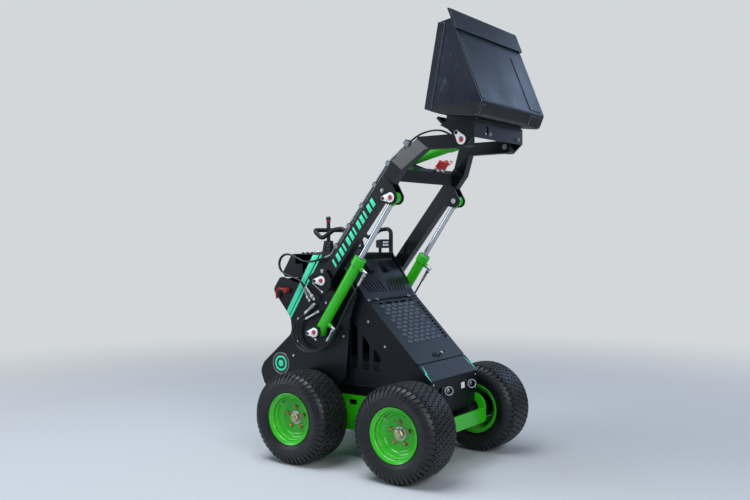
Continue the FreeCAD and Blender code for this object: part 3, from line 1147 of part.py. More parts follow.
document.recompute()
for thing in document.Objects:
    if "Invalid" in thing.State or "Error" in thing.State:
        raise RuntimeError(f"{thing.Label} did not build: {thing.State}")
os.makedirs("parts", exist_ok=True)
for piece in made:
    if piece.Shape.isNull() or not piece.Shape.isValid():
        raise RuntimeError(f"{piece.Label} has no valid shape")
    piece.Shape.exportStep(f"parts/{piece.Label}.step")
    print(piece.Label, len(piece.Shape.Solids), round(piece.Shape.Volume / 1e3), "cm3")
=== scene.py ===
import math

import bmesh
import bpy
import numpy as np
from mathutils import Matrix, Vector


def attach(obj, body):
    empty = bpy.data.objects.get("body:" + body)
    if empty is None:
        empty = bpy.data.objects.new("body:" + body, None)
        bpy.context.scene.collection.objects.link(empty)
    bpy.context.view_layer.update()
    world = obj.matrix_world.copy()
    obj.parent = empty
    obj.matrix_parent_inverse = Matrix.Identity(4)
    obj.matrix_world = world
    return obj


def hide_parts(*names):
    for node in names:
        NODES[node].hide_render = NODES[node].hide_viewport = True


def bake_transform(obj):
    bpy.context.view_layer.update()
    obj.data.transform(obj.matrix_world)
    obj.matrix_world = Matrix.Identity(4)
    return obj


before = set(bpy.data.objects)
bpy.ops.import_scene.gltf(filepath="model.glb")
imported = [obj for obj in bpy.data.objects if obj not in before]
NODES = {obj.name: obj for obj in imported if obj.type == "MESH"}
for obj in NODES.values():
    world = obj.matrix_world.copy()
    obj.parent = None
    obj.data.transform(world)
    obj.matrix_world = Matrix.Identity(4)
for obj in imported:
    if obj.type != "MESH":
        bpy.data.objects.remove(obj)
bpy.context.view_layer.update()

scene = bpy.context.scene

# Camera, at the photograph's place: metres, degrees, and the lens for a 36 mm wide frame. It looks along
# (-sin turn, cos turn), tipped by the pitch, and then rolls about the line of sight.
CAMERA_PLACE = (2.7621, -4.0699, 1.2708)
CAMERA_TURN, CAMERA_PITCH, CAMERA_ROLL, CAMERA_LENS = 35.44, -1.07, -0.29, 41.06


def linked(name, data):
    """A new object in the scene."""
    thing = bpy.data.objects.new(name, data)
    scene.collection.objects.link(thing)
    return thing


data = bpy.data.cameras.new("camera")
data.lens, data.sensor_width = CAMERA_LENS, 36.0
camera = linked("camera", data)
camera.matrix_world = Matrix.Translation(CAMERA_PLACE)
for degrees, axis in ((CAMERA_TURN, "Z"), (90 + CAMERA_PITCH, "X"), (CAMERA_ROLL, "Z")):
    camera.matrix_world = camera.matrix_world @ Matrix.Rotation(math.radians(degrees), 4, axis)
scene.camera = camera


# Shapes are whole arrays: the points, every face's corners in a row, and how many corners each face has.
def joined(*shapes):
    """Several shapes as one."""
    shifts = np.cumsum([0] + [len(shape[0]) for shape in shapes[:-1]])
    return (np.concatenate([shape[0] for shape in shapes]),
            np.concatenate([shape[1] + shift for shape, shift in zip(shapes, shifts)]),
            np.concatenate([shape[2] for shape in shapes]))


def skin(rings, round_trip=False):
    """Quads between rings of points, rows x columns x 3; a face closes each end, or the ends are joined."""
    rows, columns = rings.shape[:2]
    index = np.arange(rows * columns).reshape(rows, columns)
    if round_trip:
        index = np.vstack([index, index[:1]])
    ahead = np.roll(index, -1, axis=1)
    corners = np.stack([index[:-1], ahead[:-1], ahead[1:], index[1:]], axis=-1).reshape(-1)
    sizes = np.full(len(corners) // 4, 4)
    if not round_trip:
        corners = np.concatenate([corners, index[0, ::-1], index[-1]])
        sizes = np.append(sizes, [columns, columns])
    return rings.reshape(-1, 3), corners, sizes


def angles(count):
    """A full turn in even steps."""
    return np.arange(count) * 2 * math.pi / count


def circle(turn):
    """The points (cos t, sin t)."""
    return np.column_stack([np.cos(turn), np.sin(turn)])


def pairs(rows, columns):
    """Row and column of every cell of a grid, row by row."""
    return (grid.ravel() for grid in np.meshgrid(range(rows), range(columns), indexing="ij"))


def turned(profile, sides=32, round_trip=False):
    """A profile of (radius, height) in millimetres turned round z: x = r cos t, y = r sin t, z = h."""
    radius, height = np.array(profile, float).T / 1000
    turn = angles(sides)
    heights = np.repeat(height[:, None], sides, axis=1)
    rings = np.stack([np.outer(radius, np.cos(turn)), np.outer(radius, np.sin(turn)), heights], axis=-1)
    return skin(rings, round_trip)


def hollow(profile, sides):
    """A closed section turned round z."""
    return turned(profile, sides, True)


def unit(vectors):
    """Vectors divided by their length."""
    vectors = np.asarray(vectors, float)
    return vectors / np.linalg.norm(vectors, axis=-1, keepdims=True)


OFF_AXIS = (0.31, 0.2, 0.93)  # a direction that no path here starts along


def carried(path, radius, sides=12):
    """A circle carried along a path without twist: point = path + r (side cos t + up sin t)."""
    path = np.asarray(path, float)
    ways = unit(np.gradient(path, axis=0))
    side = np.cross(ways[0], OFF_AXIS)
    level = []
    for way in ways:
        side = unit(side - way * (side @ way))
        level.append(side)
    level = np.array(level)
    up = np.cross(ways, level)
    turn = angles(sides)
    radius = np.broadcast_to(radius, len(path))[:, None, None]
    rings = np.cos(turn)[None, :, None] * level[:, None] + np.sin(turn)[None, :, None] * up[:, None]
    return skin(path[:, None] + radius * rings)


def inset(outline, distance):
    """An outline moved inwards: each corner goes along its mitre."""
    outline = np.asarray(outline, float)
    after = np.roll(outline, -1, axis=0)
    area = (outline[:, 0] * after[:, 1] - after[:, 0] * outline[:, 1]).sum()
    run = unit(after - outline)
    normal = np.stack([-run[:, 1], run[:, 0]], axis=1) * np.sign(area)
    before = np.roll(normal, 1, axis=0)
    return outline + distance * (normal + before) / (1 + (normal * before).sum(axis=1))[:, None]


def slab(outline, *levels):
    """An outline's rings at each (inset, height), all in millimetres, closed at both ends."""
    rows = [np.column_stack([inset(outline, back), np.full(len(outline), height)]) for back, height in levels]
    return skin(np.array(rows) / 1000)


def ngon(sides, radius, turn=0.0):
    """The corners of a regular outline."""
    return circle(turn + angles(sides)) * radius


def rectangle(half_long, half_wide):
    """The corners of a rectangle about the origin."""
    return np.array([(-1, -1), (1, -1), (1, 1), (-1, 1)]) * (half_long, half_wide)


def in_metres(profile):
    """A table of millimetres in metres."""
    return np.array(profile) / 1000


def axes(x_axis, z_axis):
    """Rows x, y and z of one or more frames; y completes them."""
    z = unit(z_axis)
    x = np.broadcast_to(unit(x_axis), z.shape)
    return np.stack([x, np.cross(z, x), z], axis=-2)


UPRIGHT = np.eye(3)
SIDE = axes((1, 0, 0), (0, -1, 0))
SIDES = (("right", 1), ("left", -1))  # shapes are drawn on the right side and mirrored by the sign


def laid(shape, origin, rows=UPRIGHT):
    """A shape put in a frame: point = p @ rows + origin."""
    return shape[0] @ rows + np.asarray(origin, float), shape[1], shape[2]


def copies(points, shape):
    """Copies of a shape, with the points of each copy given."""
    shifts = np.arange(len(points))[:, None] * len(shape[0])
    return points.reshape(-1, 3), (shape[1][None] + shifts).reshape(-1), np.tile(shape[2], len(points))


def repeated(shape, origins, rows=UPRIGHT):
    """The shape in every frame of a list."""
    points = np.einsum("kj,njl->nkl", shape[0], np.broadcast_to(rows, (len(origins), 3, 3)))
    return copies(points + np.asarray(origins, float)[:, None], shape)


def mirrored(shape, across):
    """The shape itself, or with across -1 its mirror image across the middle plane."""
    return shape[0] * (1, across, 1), shape[1], shape[2]


def both_sides(shape):
    """The shape and its mirror image."""
    return joined(shape, mirrored(shape, -1))


def piece(name, shape, material, body="chassis", crease=35.0, replaces=()):
    """A mesh object with merged points and outward faces, smooth but for sharp edges, riding on a body."""
    points, corners, sizes = shape
    mesh = bpy.data.meshes.new(name)
    mesh.vertices.add(len(points))
    mesh.vertices.foreach_set("co", np.ascontiguousarray(points, dtype=np.float32).ravel())
    mesh.loops.add(len(corners))
    mesh.loops.foreach_set("vertex_index", corners.astype(np.int32))
    mesh.polygons.add(len(sizes))
    mesh.polygons.foreach_set("loop_start", (np.cumsum(sizes) - sizes).astype(np.int32))
    mesh.update(calc_edges=True)
    work = bmesh.new()
    work.from_mesh(mesh)
    bmesh.ops.remove_doubles(work, verts=work.verts, dist=1e-6)
    bmesh.ops.recalc_face_normals(work, faces=work.faces)
    work.to_mesh(mesh)
    work.free()
    mesh.shade_smooth()
    mesh.set_sharp_from_angle(angle=math.radians(crease))
    mesh.materials.append(material)
    thing = linked(name, mesh)
    if body:
        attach(thing, body)
    if replaces:
        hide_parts(*replaces)
    return thing


# Colours and node trees.
def linear(hex_text):
    """An sRGB hex colour as linear RGBA."""
    parts = [int(hex_text[i:i + 2], 16) / 255 for i in (1, 3, 5)]
    return tuple([p / 12.92 if p <= 0.04045 else ((p + 0.055) / 1.055) ** 2.4 for p in parts] + [1.0])


def feed(tree, socket, value):
    """Link an output to a socket, or set the socket to a plain value or a hex colour."""
    if isinstance(value, bpy.types.NodeSocket):
        tree.links.new(value, socket)
    else:
        socket.default_value = linear(value) if isinstance(value, str) else value


def add(tree, kind, settings=(), *values, **links):
    """One node: its settings by attribute or socket name, values for its sockets in order, and links by name."""
    node = tree.nodes.new(kind)
    for key, value in dict(settings).items():
        if hasattr(node, key):
            setattr(node, key, value)
        else:
            node.inputs[key].default_value = value
    for key, value in [*enumerate(values), *links.items()]:
        feed(tree, node.inputs[key], value)
    return node


def new_material(name, **shader):
    """A material with one Principled shader whose plain values are given by socket name."""
    material = bpy.data.materials.new(name)
    material.use_nodes = True
    bsdf = material.node_tree.nodes["Principled BSDF"]
    for key, value in shader.items():
        bsdf.inputs[key.replace("_", " ")].default_value = value
    return material, material.node_tree, bsdf


def noise(tree, scale, detail=3.0, roughness=0.55, stretch=(1, 1, 1)):
    """Noise on Object coordinates; scale is in cells per metre, stretch squeezes an axis."""
    where = add(tree, "ShaderNodeTexCoord")
    mapping = add(tree, "ShaderNodeMapping", {"Scale": stretch}, Vector=where.outputs["Object"])
    return add(tree, "ShaderNodeTexNoise", {"Scale": scale, "Detail": detail, "Roughness": roughness},
               Vector=mapping.outputs["Vector"]).outputs["Fac"]


def ramp(tree, source, *stops):
    """A grey ramp between two stops of (place, grey)."""
    node = add(tree, "ShaderNodeValToRGB", Fac=source)
    for point, (place, grey) in zip(node.color_ramp.elements, stops):
        point.position = place
        point.color = (grey, grey, grey, 1)
    return node.outputs["Color"]


def calculated(tree, operation, first, second, clamp=False):
    """The result of a Math node."""
    return add(tree, "ShaderNodeMath", {"operation": operation, "use_clamp": clamp}, first, second).outputs[0]


def finish(tree, bsdf, colour, height, strength, depth, normal=None):
    """The shader's colour, and relief of a given depth in metres, over another normal if one is given."""
    feed(tree, bsdf.inputs["Base Color"], colour)
    node = add(tree, "ShaderNodeBump", {"Strength": strength, "Distance": depth}, Height=height)
    if normal is not None:
        feed(tree, node.inputs["Normal"], normal)
    feed(tree, bsdf.inputs["Normal"], node.outputs["Normal"])


def mixed(tree, factor, first, second):
    """A colour between two, by a grey factor."""
    node = add(tree, "ShaderNodeMix", {"data_type": "RGBA"})
    for socket, value in ((0, factor), (6, first), (7, second)):
        feed(tree, node.inputs[socket], value)
    return node.outputs[2]


def edge_normal(tree, radius):
    """The surface normal rounded over every edge within a radius in metres."""
    return add(tree, "ShaderNodeBevel", {"samples": 4, "Radius": radius}).outputs["Normal"]


# Edge mask: where paint is worn on an edge, and where a painted highlight runs along it.
def edge_wear_and_highlight(tree, rounded, sharpness=18.0):
    """1 on a sharp edge and 0 on a flat face: how far the rounded normal leaves the true one."""
    flat = add(tree, "ShaderNodeNewGeometry").outputs["True Normal"]
    dot = add(tree, "ShaderNodeVectorMath", {"operation": "DOT_PRODUCT"}, flat, rounded)
    lack = calculated(tree, "SUBTRACT", 1.0, dot.outputs["Value"])
    return calculated(tree, "MULTIPLY", lack, sharpness, clamp=True)


def painted_steel(name, colour, faded, edge, roughness, peel=0.25, coat=0.0, specular=0.3):
    """Sprayed paint on sheet steel: a little fading, fine orange peel, and edges lightened both by wear and as a
    painted highlight.
    """
    material, tree, bsdf = new_material(name, Roughness=roughness, IOR=1.5, Coat_Weight=coat, Coat_Roughness=0.12,
                                        Specular_IOR_Level=specular)
    fading = ramp(tree, noise(tree, 4.0, detail=4.0), (0.35, 0.0), (0.75, 1.0))
    rounded = edge_normal(tree, 0.0015)
    chips = ramp(tree, noise(tree, 90.0, detail=4.0, roughness=0.7), (0.42, 0.1), (0.62, 1.0))
    # The edge colour marks worn edges and is also a painted highlight along them.
    rubbed_and_highlit = calculated(tree, "MULTIPLY", edge_wear_and_highlight(tree, rounded), chips)
    tone = mixed(tree, rubbed_and_highlit, mixed(tree, fading, colour, faded), edge)
    finish(tree, bsdf, tone, noise(tree, 420.0, detail=2.0), peel, 0.0004, rounded)
    return material


# The fourth colour of each paint is its edge colour: wear, and a painted highlight along the edges.
# Powder coat on the body sheets: satin black with a fine pebbled skin that spreads reflections.
BLACK = painted_steel("powder_coated_steel_black", "#070b10", "#0b1118", "#454d55", 0.38)
# Heavier powder coat on the arms and towers, a little glossier than the sheets.
ARM_BLACK = painted_steel("powder_coated_plate_black", "#06080b", "#0b0f14", "#565c61", 0.30, specular=0.4)
# Green stoving enamel on the undercarriage, rims and barrels: bright, smooth and glossy.
GREEN = painted_steel("stoving_enamel_green", "#2fbd16", "#2ab211", "#86dd6c", 0.26, peel=0.06, coat=0.3,
                      specular=0.4)
# Cast iron motor housings and small bolts under thin black paint: dull and coarse.
CAST_BLACK = painted_steel("painted_cast_iron", "#17191b", "#22252a", "#3b3f43", 0.55, peel=0.6)
# Stamped mesh behind the lid's openings: grey primer that shows a shade lighter than the sheet.
GRILLE_GREY = painted_steel("primed_steel_mesh", "#39434e", "#434e5a", "#7d8893", 0.45)


def worn_paint(name, earth_top=1.925, earth_fade=0.03):
    """Paint on the bucket: dark, with fine scratches, edges lightened both by wear and as a painted highlight, and
    dried earth below the heel's height.
    """
    material, tree, bsdf = new_material(name, IOR=1.5, Specular_IOR_Level=0.4)
    cloud = noise(tree, 3.0, detail=5.0)
    tone = mixed(tree, ramp(tree, cloud, (0.4, 0.0), (0.7, 1.0)), "#0d1522", "#17202c")
    rounded = edge_normal(tree, 0.002)
    drags = noise(tree, 18.0, detail=7.0, roughness=0.75, stretch=(1, 7, 0.5))
    knocks = noise(tree, 11.0, detail=6.0, roughness=0.7, stretch=(9, 1, 0.7))
    for scratches, limit in ((drags, 0.57), (knocks, 0.60)):
        tone = mixed(tree, ramp(tree, scratches, (limit, 0.0), (limit + 0.09, 0.5)), tone, "#46515c")
    height = add(tree, "ShaderNodeSeparateXYZ", Vector=add(tree, "ShaderNodeTexCoord").outputs["Object"])
    earth = add(tree, "ShaderNodeMapRange",
                {"From Min": earth_top, "From Max": earth_top - earth_fade, "To Max": 0.55},
                Value=height.outputs["Z"])
    tone = mixed(tree, earth.outputs["Result"], tone, "#2b2620")
    # Worn edges, lightened also as a painted highlight.
    tone = mixed(tree, edge_wear_and_highlight(tree, rounded, 30.0), tone, "#8b9299")
    feed(tree, bsdf.inputs["Roughness"], ramp(tree, cloud, (0.3, 0.26), (0.7, 0.46)))
    finish(tree, bsdf, tone, drags, 0.2, 0.0005, rounded)
    return material


# The bucket's paint: blue-black, scratched by stones, with brown earth round the heel, and wear with a painted
# highlight along its edges.
BUCKET_BLACK = worn_paint("worn_bucket_paint")


def rubber(name, colour, dust, roughness):
    """Carbon black rubber with pale dust in random blotches."""
    material, tree, bsdf = new_material(name, Roughness=roughness, IOR=1.5)
    dusty = ramp(tree, noise(tree, 14.0, detail=5.0, roughness=0.65), (0.42, 0.0), (0.8, 0.75))
    finish(tree, bsdf, mixed(tree, dusty, colour, dust), noise(tree, 700.0, detail=2.0), 0.3, 0.0004)
    return material


# Tyres: charcoal with soft highlights on the blocks. Hoses: blacker and smoother.
TYRE_RUBBER = rubber("tyre_rubber", "#08090c", "#24272a", 0.44)
HOSE_RUBBER = rubber("hose_rubber", "#0c0d0f", "#17181a", 0.28)


def plated(name, colour, stain, roughness, spread=0.16):
    """Bare or plated metal: a mottled film that varies its colour and gloss."""
    material, tree, bsdf = new_material(name, Metallic=1.0)
    cloud = noise(tree, 60.0, detail=4.0)
    feed(tree, bsdf.inputs["Base Color"], mixed(tree, ramp(tree, cloud, (0.45, 0.0), (0.75, 1.0)), colour, stain))
    feed(tree, bsdf.inputs["Roughness"], ramp(tree, cloud, (0.3, roughness), (0.8, roughness + spread)))
    return material


# Hard chrome on the cylinder rods: a near mirror, ground round the rod.
CHROME = plated("hard_chrome_rod", "#c3c8cd", "#b9bec4", 0.15, spread=0.03)
# Zinc plate on pins, fittings and hubs: pale grey with a soft sheen.
ZINC = plated("zinc_plated_steel", "#c4c6c5", "#a3a5a3", 0.28)
# Drawn steel tube under clear lacquer on the arm: darker and more even than the fittings.
STEEL_TUBE = plated("lacquered_steel_tube", "#8c9196", "#777c81", 0.3)
# Yellow passivated zinc on the wheel nuts.
YELLOW_ZINC = plated("yellow_passivated_zinc", "#b79b6c", "#8f7a55", 0.3)
# Clear passivated zinc on the hub nut, with a faint straw tint.
PALE_ZINC = plated("clear_passivated_zinc", "#bdb893", "#a19c7b", 0.25)


def moulded(name, colour, roughness=0.45, specular=0.5):
    """Moulded ABS or polyamide: even colour under a fine spark-eroded grain."""
    material, tree, bsdf = new_material(name, Roughness=roughness, IOR=1.53, Specular_IOR_Level=specular)
    light = tuple([min(1.0, c * 1.25) for c in linear(colour)[:3]] + [1.0])
    finish(tree, bsdf, mixed(tree, noise(tree, 8.0), colour, light), noise(tree, 900.0, detail=1.0), 0.25, 0.0003)
    return material


# Polyamide on grips, bellows, lamps and latch: near black, satin.
BLACK_PLASTIC = moulded("moulded_polyamide_black", "#141518")
# ABS caps and dust plugs: a clear signal red with a slight gloss.
RED_PLASTIC = moulded("moulded_abs_red", "#b5221f", 0.35)
# Sun-faded red on the isolator's lever: duller and darker than the caps.
FADED_RED = moulded("faded_abs_red", "#86281f", 0.5, 0.3)
# Cut vinyl film: saturated mint, slightly glossy.
MINT_VINYL = moulded("vinyl_film_mint", "#3fdcab", 0.38)
# Anodised keeper plates: plain white against the black arms.
WHITE_PLATE = moulded("anodised_keeper_white", "#e6e7e4", 0.4)
# Coated steel box of the battery, seen only with the hood open: dark grey.
BATTERY_CASE = moulded("battery_case_steel", "#2a2d31", 0.5)
# Painted shade: near black that gives back next to nothing, put where slots and gaps would lie dark.
DEEP_SHADOW = moulded("painted_slot_shade", "#030304", 0.9, 0.0)
# Polycarbonate over the lamps' emitters: pale and glossy.
LAMP_GLASS = moulded("polycarbonate_lens", "#d8dde2", 0.12)

USES = [  # material, its slot, and how the names of the nodes that have it start
    (ARM_BLACK, None, "boom tower coupler"),
    (BATTERY_CASE, None, "battery_pack"),
    (BLACK, "black_paint", ""),
    (BLACK_PLASTIC, "black_plastic", "joysticks work_lamps"),
    (BUCKET_BLACK, "worn_black", "bucket"),
    (CAST_BLACK, "black_cast", "drive_motors"),
    (CHROME, "chrome_rod", "lift_rod tilt_rod"),
    (DEEP_SHADOW, "black_plastic", ""),
    (FADED_RED, None, "isolator_handle"),
    (GREEN, "green_paint", "rim undercarriage lift_barrel tilt_barrel"),
    (GRILLE_GREY, "black_paint", ""),
    (HOSE_RUBBER, "hose_rubber", "hose_"),
    (MINT_VINYL, "green_paint", ""),
    (RED_PLASTIC, "red_plastic", ""),
    (STEEL_TUBE, "zinc_steel", "arm_pipes"),
    (TYRE_RUBBER, "tyre_rubber", "tyre"),
    (ZINC, "zinc_steel", "hub frame_pins boom_pins hose_fittings port_fittings coupler_pins"),
    *[(material, "zinc_steel", "") for material in (LAMP_GLASS, PALE_ZINC, WHITE_PLATE, YELLOW_ZINC)],
]
STARTS = {start: material for material, _, starts in USES for start in starts.split()}
for node_name, node in NODES.items():
    fitting = [start for start in STARTS if node_name.startswith(start)]
    node.data.materials.clear()
    node.data.materials.append(STARTS[max(fitting, key=len)] if fitting else BLACK)


# Hydraulic hoses: the same routes as in the part's source, in millimetres, on the right side.
BOOM_OUTER = in_metres([(-416, -307, 962), (-441.6, -307, 1007.3), (-524, -307, 1028), (-586, -307, 1050.4),
    (-606.2, -307, 1091.8), (-592, -308, 1135.5), (-547.8, -309, 1159), (-478, -310, 1141.6),
    (-409.5, -311, 1111), (-324.7, -312, 1117), (-244, -312, 1140)])
BOOM_INNER = in_metres([(-393, -322, 971), (-426.7, -322, 1007.9), (-504, -331, 1028.6),
    (-568.9, -334, 1054.8), (-587.6, -335, 1096.8), (-571.9, -335, 1140), (-527.3, -335, 1162.7),
    (-458.1, -334, 1142.8), (-394.7, -334, 1113.3), (-313, -334, 1120.3), (-236.1, -334, 1142.3)])
LIFT_BASE = in_metres([(-406, -305, 786), (-446.5, -305, 766.4), (-474, -306, 727), (-470, -308, 676),
    (-440, -312, 632), (-386, -318, 606), (-322, -324, 611), (-261.9, -327.5, 635.1),
    (-236.24, -327.5, 672.06)])
LIFT_ROD = in_metres([(-412, -307, 816), (-449.3, -307, 785.8), (-478, -332, 741), (-482, -340, 686),
    (-452, -343, 636), (-398, -343, 604), (-330, -343, 600), (-262, -343, 622), (-210, -340, 668),
    (-139.9, -332, 777.5), (-82.82, -327.5, 893.02), (-15.53, -327.5, 989.94)])
TIP_HOSE = in_metres([(283, -262, 1757), (322, -258, 1786), (375, -250, 1805), (432, -244, 1812),
    (484, -238, 1802), (515, -232, 1780)])
HOSE_ACROSS, HOSE_SIDES = 0.010, 14


def read_route(points):
    """Points read along the smooth line of a NURBS spline of order 3 with these control points."""
    line = bpy.data.curves.new("route", "CURVE")
    line.dimensions = "3D"
    line.resolution_u = 10
    spline = line.splines.new("NURBS")
    spline.points.add(len(points) - 1)
    spline.points.foreach_set("co", np.column_stack([points, np.ones(len(points))]).ravel())
    spline.order_u = 3
    spline.use_endpoint_u = True
    holder = bpy.data.objects.new("route", line)
    mesh = bpy.data.meshes.new_from_object(holder)
    read = np.empty(len(mesh.vertices) * 3)
    mesh.vertices.foreach_get("co", read)
    bpy.data.objects.remove(holder)
    bpy.data.curves.remove(line)
    bpy.data.meshes.remove(mesh)
    return read.reshape(-1, 3)


def hose(name, points, body=None, bend=None, replaces=()):
    """A rubber hose along a route, riding on one body, or on none when bend is given; the bodies, start and end in
    bend are not used.
    """
    path = read_route(points)
    tube = piece(name, carried(path, HOSE_ACROSS / 2, HOSE_SIDES), HOSE_RUBBER, body, replaces=replaces)
    if bend:
        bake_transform(tube)


for name, route, length, start, end in (
        ("boom_outer", BOOM_OUTER, 0.648, (-0.42, -0.307, 1.03), (-0.25, -0.312, 1.13)),
        ("boom_inner", BOOM_INNER, 0.635, (-0.42, -0.334, 1.03), (-0.25, -0.334, 1.13))):
    hose("tube_" + name, route, bend=(("chassis", "boom"), start, end), replaces=("hose_" + name,))
for side, across in SIDES:
    bend = (("chassis", "lift_cylinder_" + side), (-0.33, -0.327 * across, 0.64),
            (-0.215, -0.327 * across, 0.745))
    for end_name, route, length in (("base", LIFT_BASE, 0.425), ("rod", LIFT_ROD, 0.861)):
        name = f"lift_{side}_{end_name}"
        hose("tube_" + name, route * (1, across, 1), bend=bend, replaces=("hose_" + name,))
hose("tip_hose", TIP_HOSE, "boom")

# Wheels are worked out for the right side, z outwards from the wheel's middle, and mirrored for the left.
WHEEL_X, WHEEL_Y, WHEEL_Z = 0.3475, 0.420, 0.254
CROWN = in_metres([(0, 254), (60, 254), (75, 253), (90, 251), (99, 247.5), (108, 242), (114, 235), (120, 225),
                   (124, 213), (127, 200)])
TREAD_PITCHES, TREAD_COLUMNS, COLUMN = 50, 8, 0.0238
BLOCK_LONG, BLOCK_GAP, BLOCK_SKEW, BLOCK_STEP = 0.0268, 0.0034, 0.42, 0.18


def crown_radius(across):
    """The tyre's outside radius at a distance from its middle."""
    return np.interp(np.abs(across), CROWN[:, 0], CROWN[:, 1])


def tread_blocks():
    """Crown blocks: angle = pitch + (along + skew across) / R, radius = crown less each ring's depth."""
    pitch, column = pairs(TREAD_PITCHES, TREAD_COLUMNS)
    middle = (column - (TREAD_COLUMNS - 1) / 2) * COLUMN
    turn = (pitch + 0.5 * (column % 2) + BLOCK_STEP * column) * 2 * math.pi / TREAD_PITCHES
    skew = np.where(column % 2 == 0, BLOCK_SKEW, -BLOCK_SKEW)
    corner = rectangle(1, 1)
    rings = np.array([(0, 0.0095), (0, 0.0012), (0.0012, 0)])
    half_long, half_wide = BLOCK_LONG / 2, (COLUMN - BLOCK_GAP) / 2
    long = corner[None, None, :, 0] * (half_long - rings[None, :, None, 0])
    wide = corner[None, None, :, 1] * (half_wide - rings[None, :, None, 0])
    across = middle[:, None, None] + wide
    angle = turn[:, None, None] + (long + skew[:, None, None] * wide) / WHEEL_Z
    radius = crown_radius(across) - rings[None, :, None, 1]
    points = np.stack([radius * np.cos(angle), radius * np.sin(angle), across], axis=-1)
    return copies(points, skin(points[0]))


def shoulder_lugs(side):
    """Lugs from the crown down the shoulder: each ring lies its depth under the surface, along the normal."""
    across, depth, width = in_metres([(96.5, 104, 112, 119, 123.5, 126.2), (9.5, 10, 9.5, 8, 5.5, 2),
                                      (11, 11, 10.5, 9.5, 8, 5.5)])
    normal_r = np.array([0.97, 0.88, 0.75, 0.5, 0.32, 0.12])
    normal_y = np.sqrt(1 - normal_r ** 2)
    radius = crown_radius(across)
    turn = (np.arange(TREAD_PITCHES) + (0.25 if side > 0 else 0.6)) * 2 * math.pi / TREAD_PITCHES
    ring = np.array([(-1, 0), (1, 0), (1.12, 1), (-1.12, 1)])
    deep = depth[:, None] * ring[None, :, 1]
    r = radius[:, None] - deep * normal_r[:, None]
    y = (across[:, None] - deep * normal_y[:, None]) * side
    lean = 0.10 * (across - across[0])[:, None] / WHEEL_Z * 4
    angle = turn[:, None, None] + (width[:, None] * ring[None, :, 0] / WHEEL_Z + lean)[None]
    points = np.stack([r * np.cos(angle), r * np.sin(angle), np.broadcast_to(y, angle.shape)], axis=-1)
    return copies(points, skin(points[0]))


def smooth_line(keys, count, passes):
    """An open line through keys, evenly divided and then eased by averaging neighbours."""
    keys = np.asarray(keys, float)
    steps = np.append(0, np.cumsum(np.linalg.norm(np.diff(keys, axis=0), axis=1)))
    at = np.linspace(0, steps[-1], count)
    line = np.column_stack([np.interp(at, steps, keys[:, i]) for i in (0, 1)])
    for _ in range(passes):
        line[1:-1] = (line[:-2] + 2 * line[1:-1] + line[2:]) / 4
    return line


def tyre_carcass():
    """The casing: bead, ribbed sidewall, shoulder and crown turned round the axle as one closed skin."""
    rib_pitch, rib_high, wall = 8.5, 1.1, 9
    half = smooth_line([
        (127.4, 100), (133, 104), (145, 106), (149, 111), (166, 121), (184, 125.5), (200, 126.3), (213, 122),
        (226, 114), (236, 104), (243, 90), (245.5, 62), (245.5, 0)], 60, 2)
    rise = np.interp(half[:, 0], [150, 152, 209, 211], [0, 1, 1, 0])
    ribs = np.maximum(0, np.sin(half[:, 0] * 2 * math.pi / rib_pitch)) ** 3 * rib_high * rise
    half[:, 1] += ribs - rib_high * rise
    inner = smooth_line([(245.5, 0), (236, 40), (232, 80), (214, 108), (190, 114), (160, 108), (140, 100),
                         (130, 92)], 14, 1)
    outer = np.vstack([half, half[-2::-1] * (1, -1)])
    core = inner - (wall, 0)
    loop = np.vstack([outer, core[::-1] * (1, -1), core[1:]])
    return hollow(loop, 100)


# Rim sheet, radius and distance outwards in millimetres: the face that shows from outside, the bore,
# then the inboard face and the tyre side.
RIM = [
    (144, 109), (143.6, 111.2), (141.5, 112), (137, 109.5), (131, 105), (124.5, 101), (122.5, 97), (122, 85),
    (120.5, 81.5), (115, 79), (112.8, 76.5), (112, 73), (112, 62), (110.6, 58.8), (104, 56), (99.5, 53),
    (96.5, 48.5), (92, 45), (84, 42.6), (74, 42), (32, 42), (31, 41), (31, 35), (32, 34), (84, 34), (93, 36),
    (101, 38), (109, 31), (116, 22), (120, 10), (120, -96), (123, -101), (131, -105), (137, -109.5),
    (141.5, -112), (143.6, -111.2), (144, -109), (143.5, -106.5), (134, -105), (127.2, -101), (126.6, -92),
    (124.6, -88), (124.6, 10), (120.5, 22), (113, 33.5), (104, 43), (103.5, 50), (107, 53), (114, 56),
    (116.4, 62), (116.4, 73), (118, 77.5), (124.8, 82), (126.6, 87), (127.2, 101), (134, 105), (143.5, 106.5),
]
HUB = [(0, 6), (34, 6), (34, 22), (73, 22), (73, 34), (30.5, 34), (30.5, 42.3), (38, 42.3), (38, 45.5),
       (36.5, 47), (25, 47), (24, 49), (0, 49)]
NUTS, NUT_CIRCLE, NUT_SEAT = 5, 0.05715, 0.042
hex_nut = slab(ngon(6, 27.5), (0, 46), (0, 64), (2, 66.5), (6, 67.5))
cap_end = turned([(19.5, 66), (19, 69.5), (17, 71), (12, 71.6), (0, 71.8)], 24)
nut = joined(slab(ngon(6, 10.5, 0.3), (0, 0), (0, 11), (1.5, 12.5)),
             turned([(13, -0.5), (13, 1.5), (10.5, 4), (0, 4)], 20),
             turned([(6, 12), (6, 16), (5, 17.2), (0, 17.2)], 14))
nut_places = np.column_stack([ngon(NUTS, NUT_CIRCLE, math.radians(90)), np.full(NUTS, NUT_SEAT)])
valve = carried(in_metres([(-70, 88, 66), (-66, 82, 82), (-61, 76, 98)]), in_metres([5.5, 4.5, 4.2]))
tyre_shape = joined(tyre_carcass(), tread_blocks(), shoulder_lugs(1), shoulder_lugs(-1))
WHEEL_PIECES = [  # name, shape, material, node that it stands for
    ("tread_tyre", tyre_shape, TYRE_RUBBER, "tyre"),
    ("stepped_rim", hollow(RIM, 72), GREEN, "rim"),
    ("hub_flange", turned(HUB, 40), ZINC, "hub"),
    ("hub_nut", joined(hex_nut, cap_end), PALE_ZINC, None),
    ("wheel_nuts", repeated(nut, nut_places), YELLOW_ZINC, None),
    ("valve_stem", valve, ZINC, None),
]
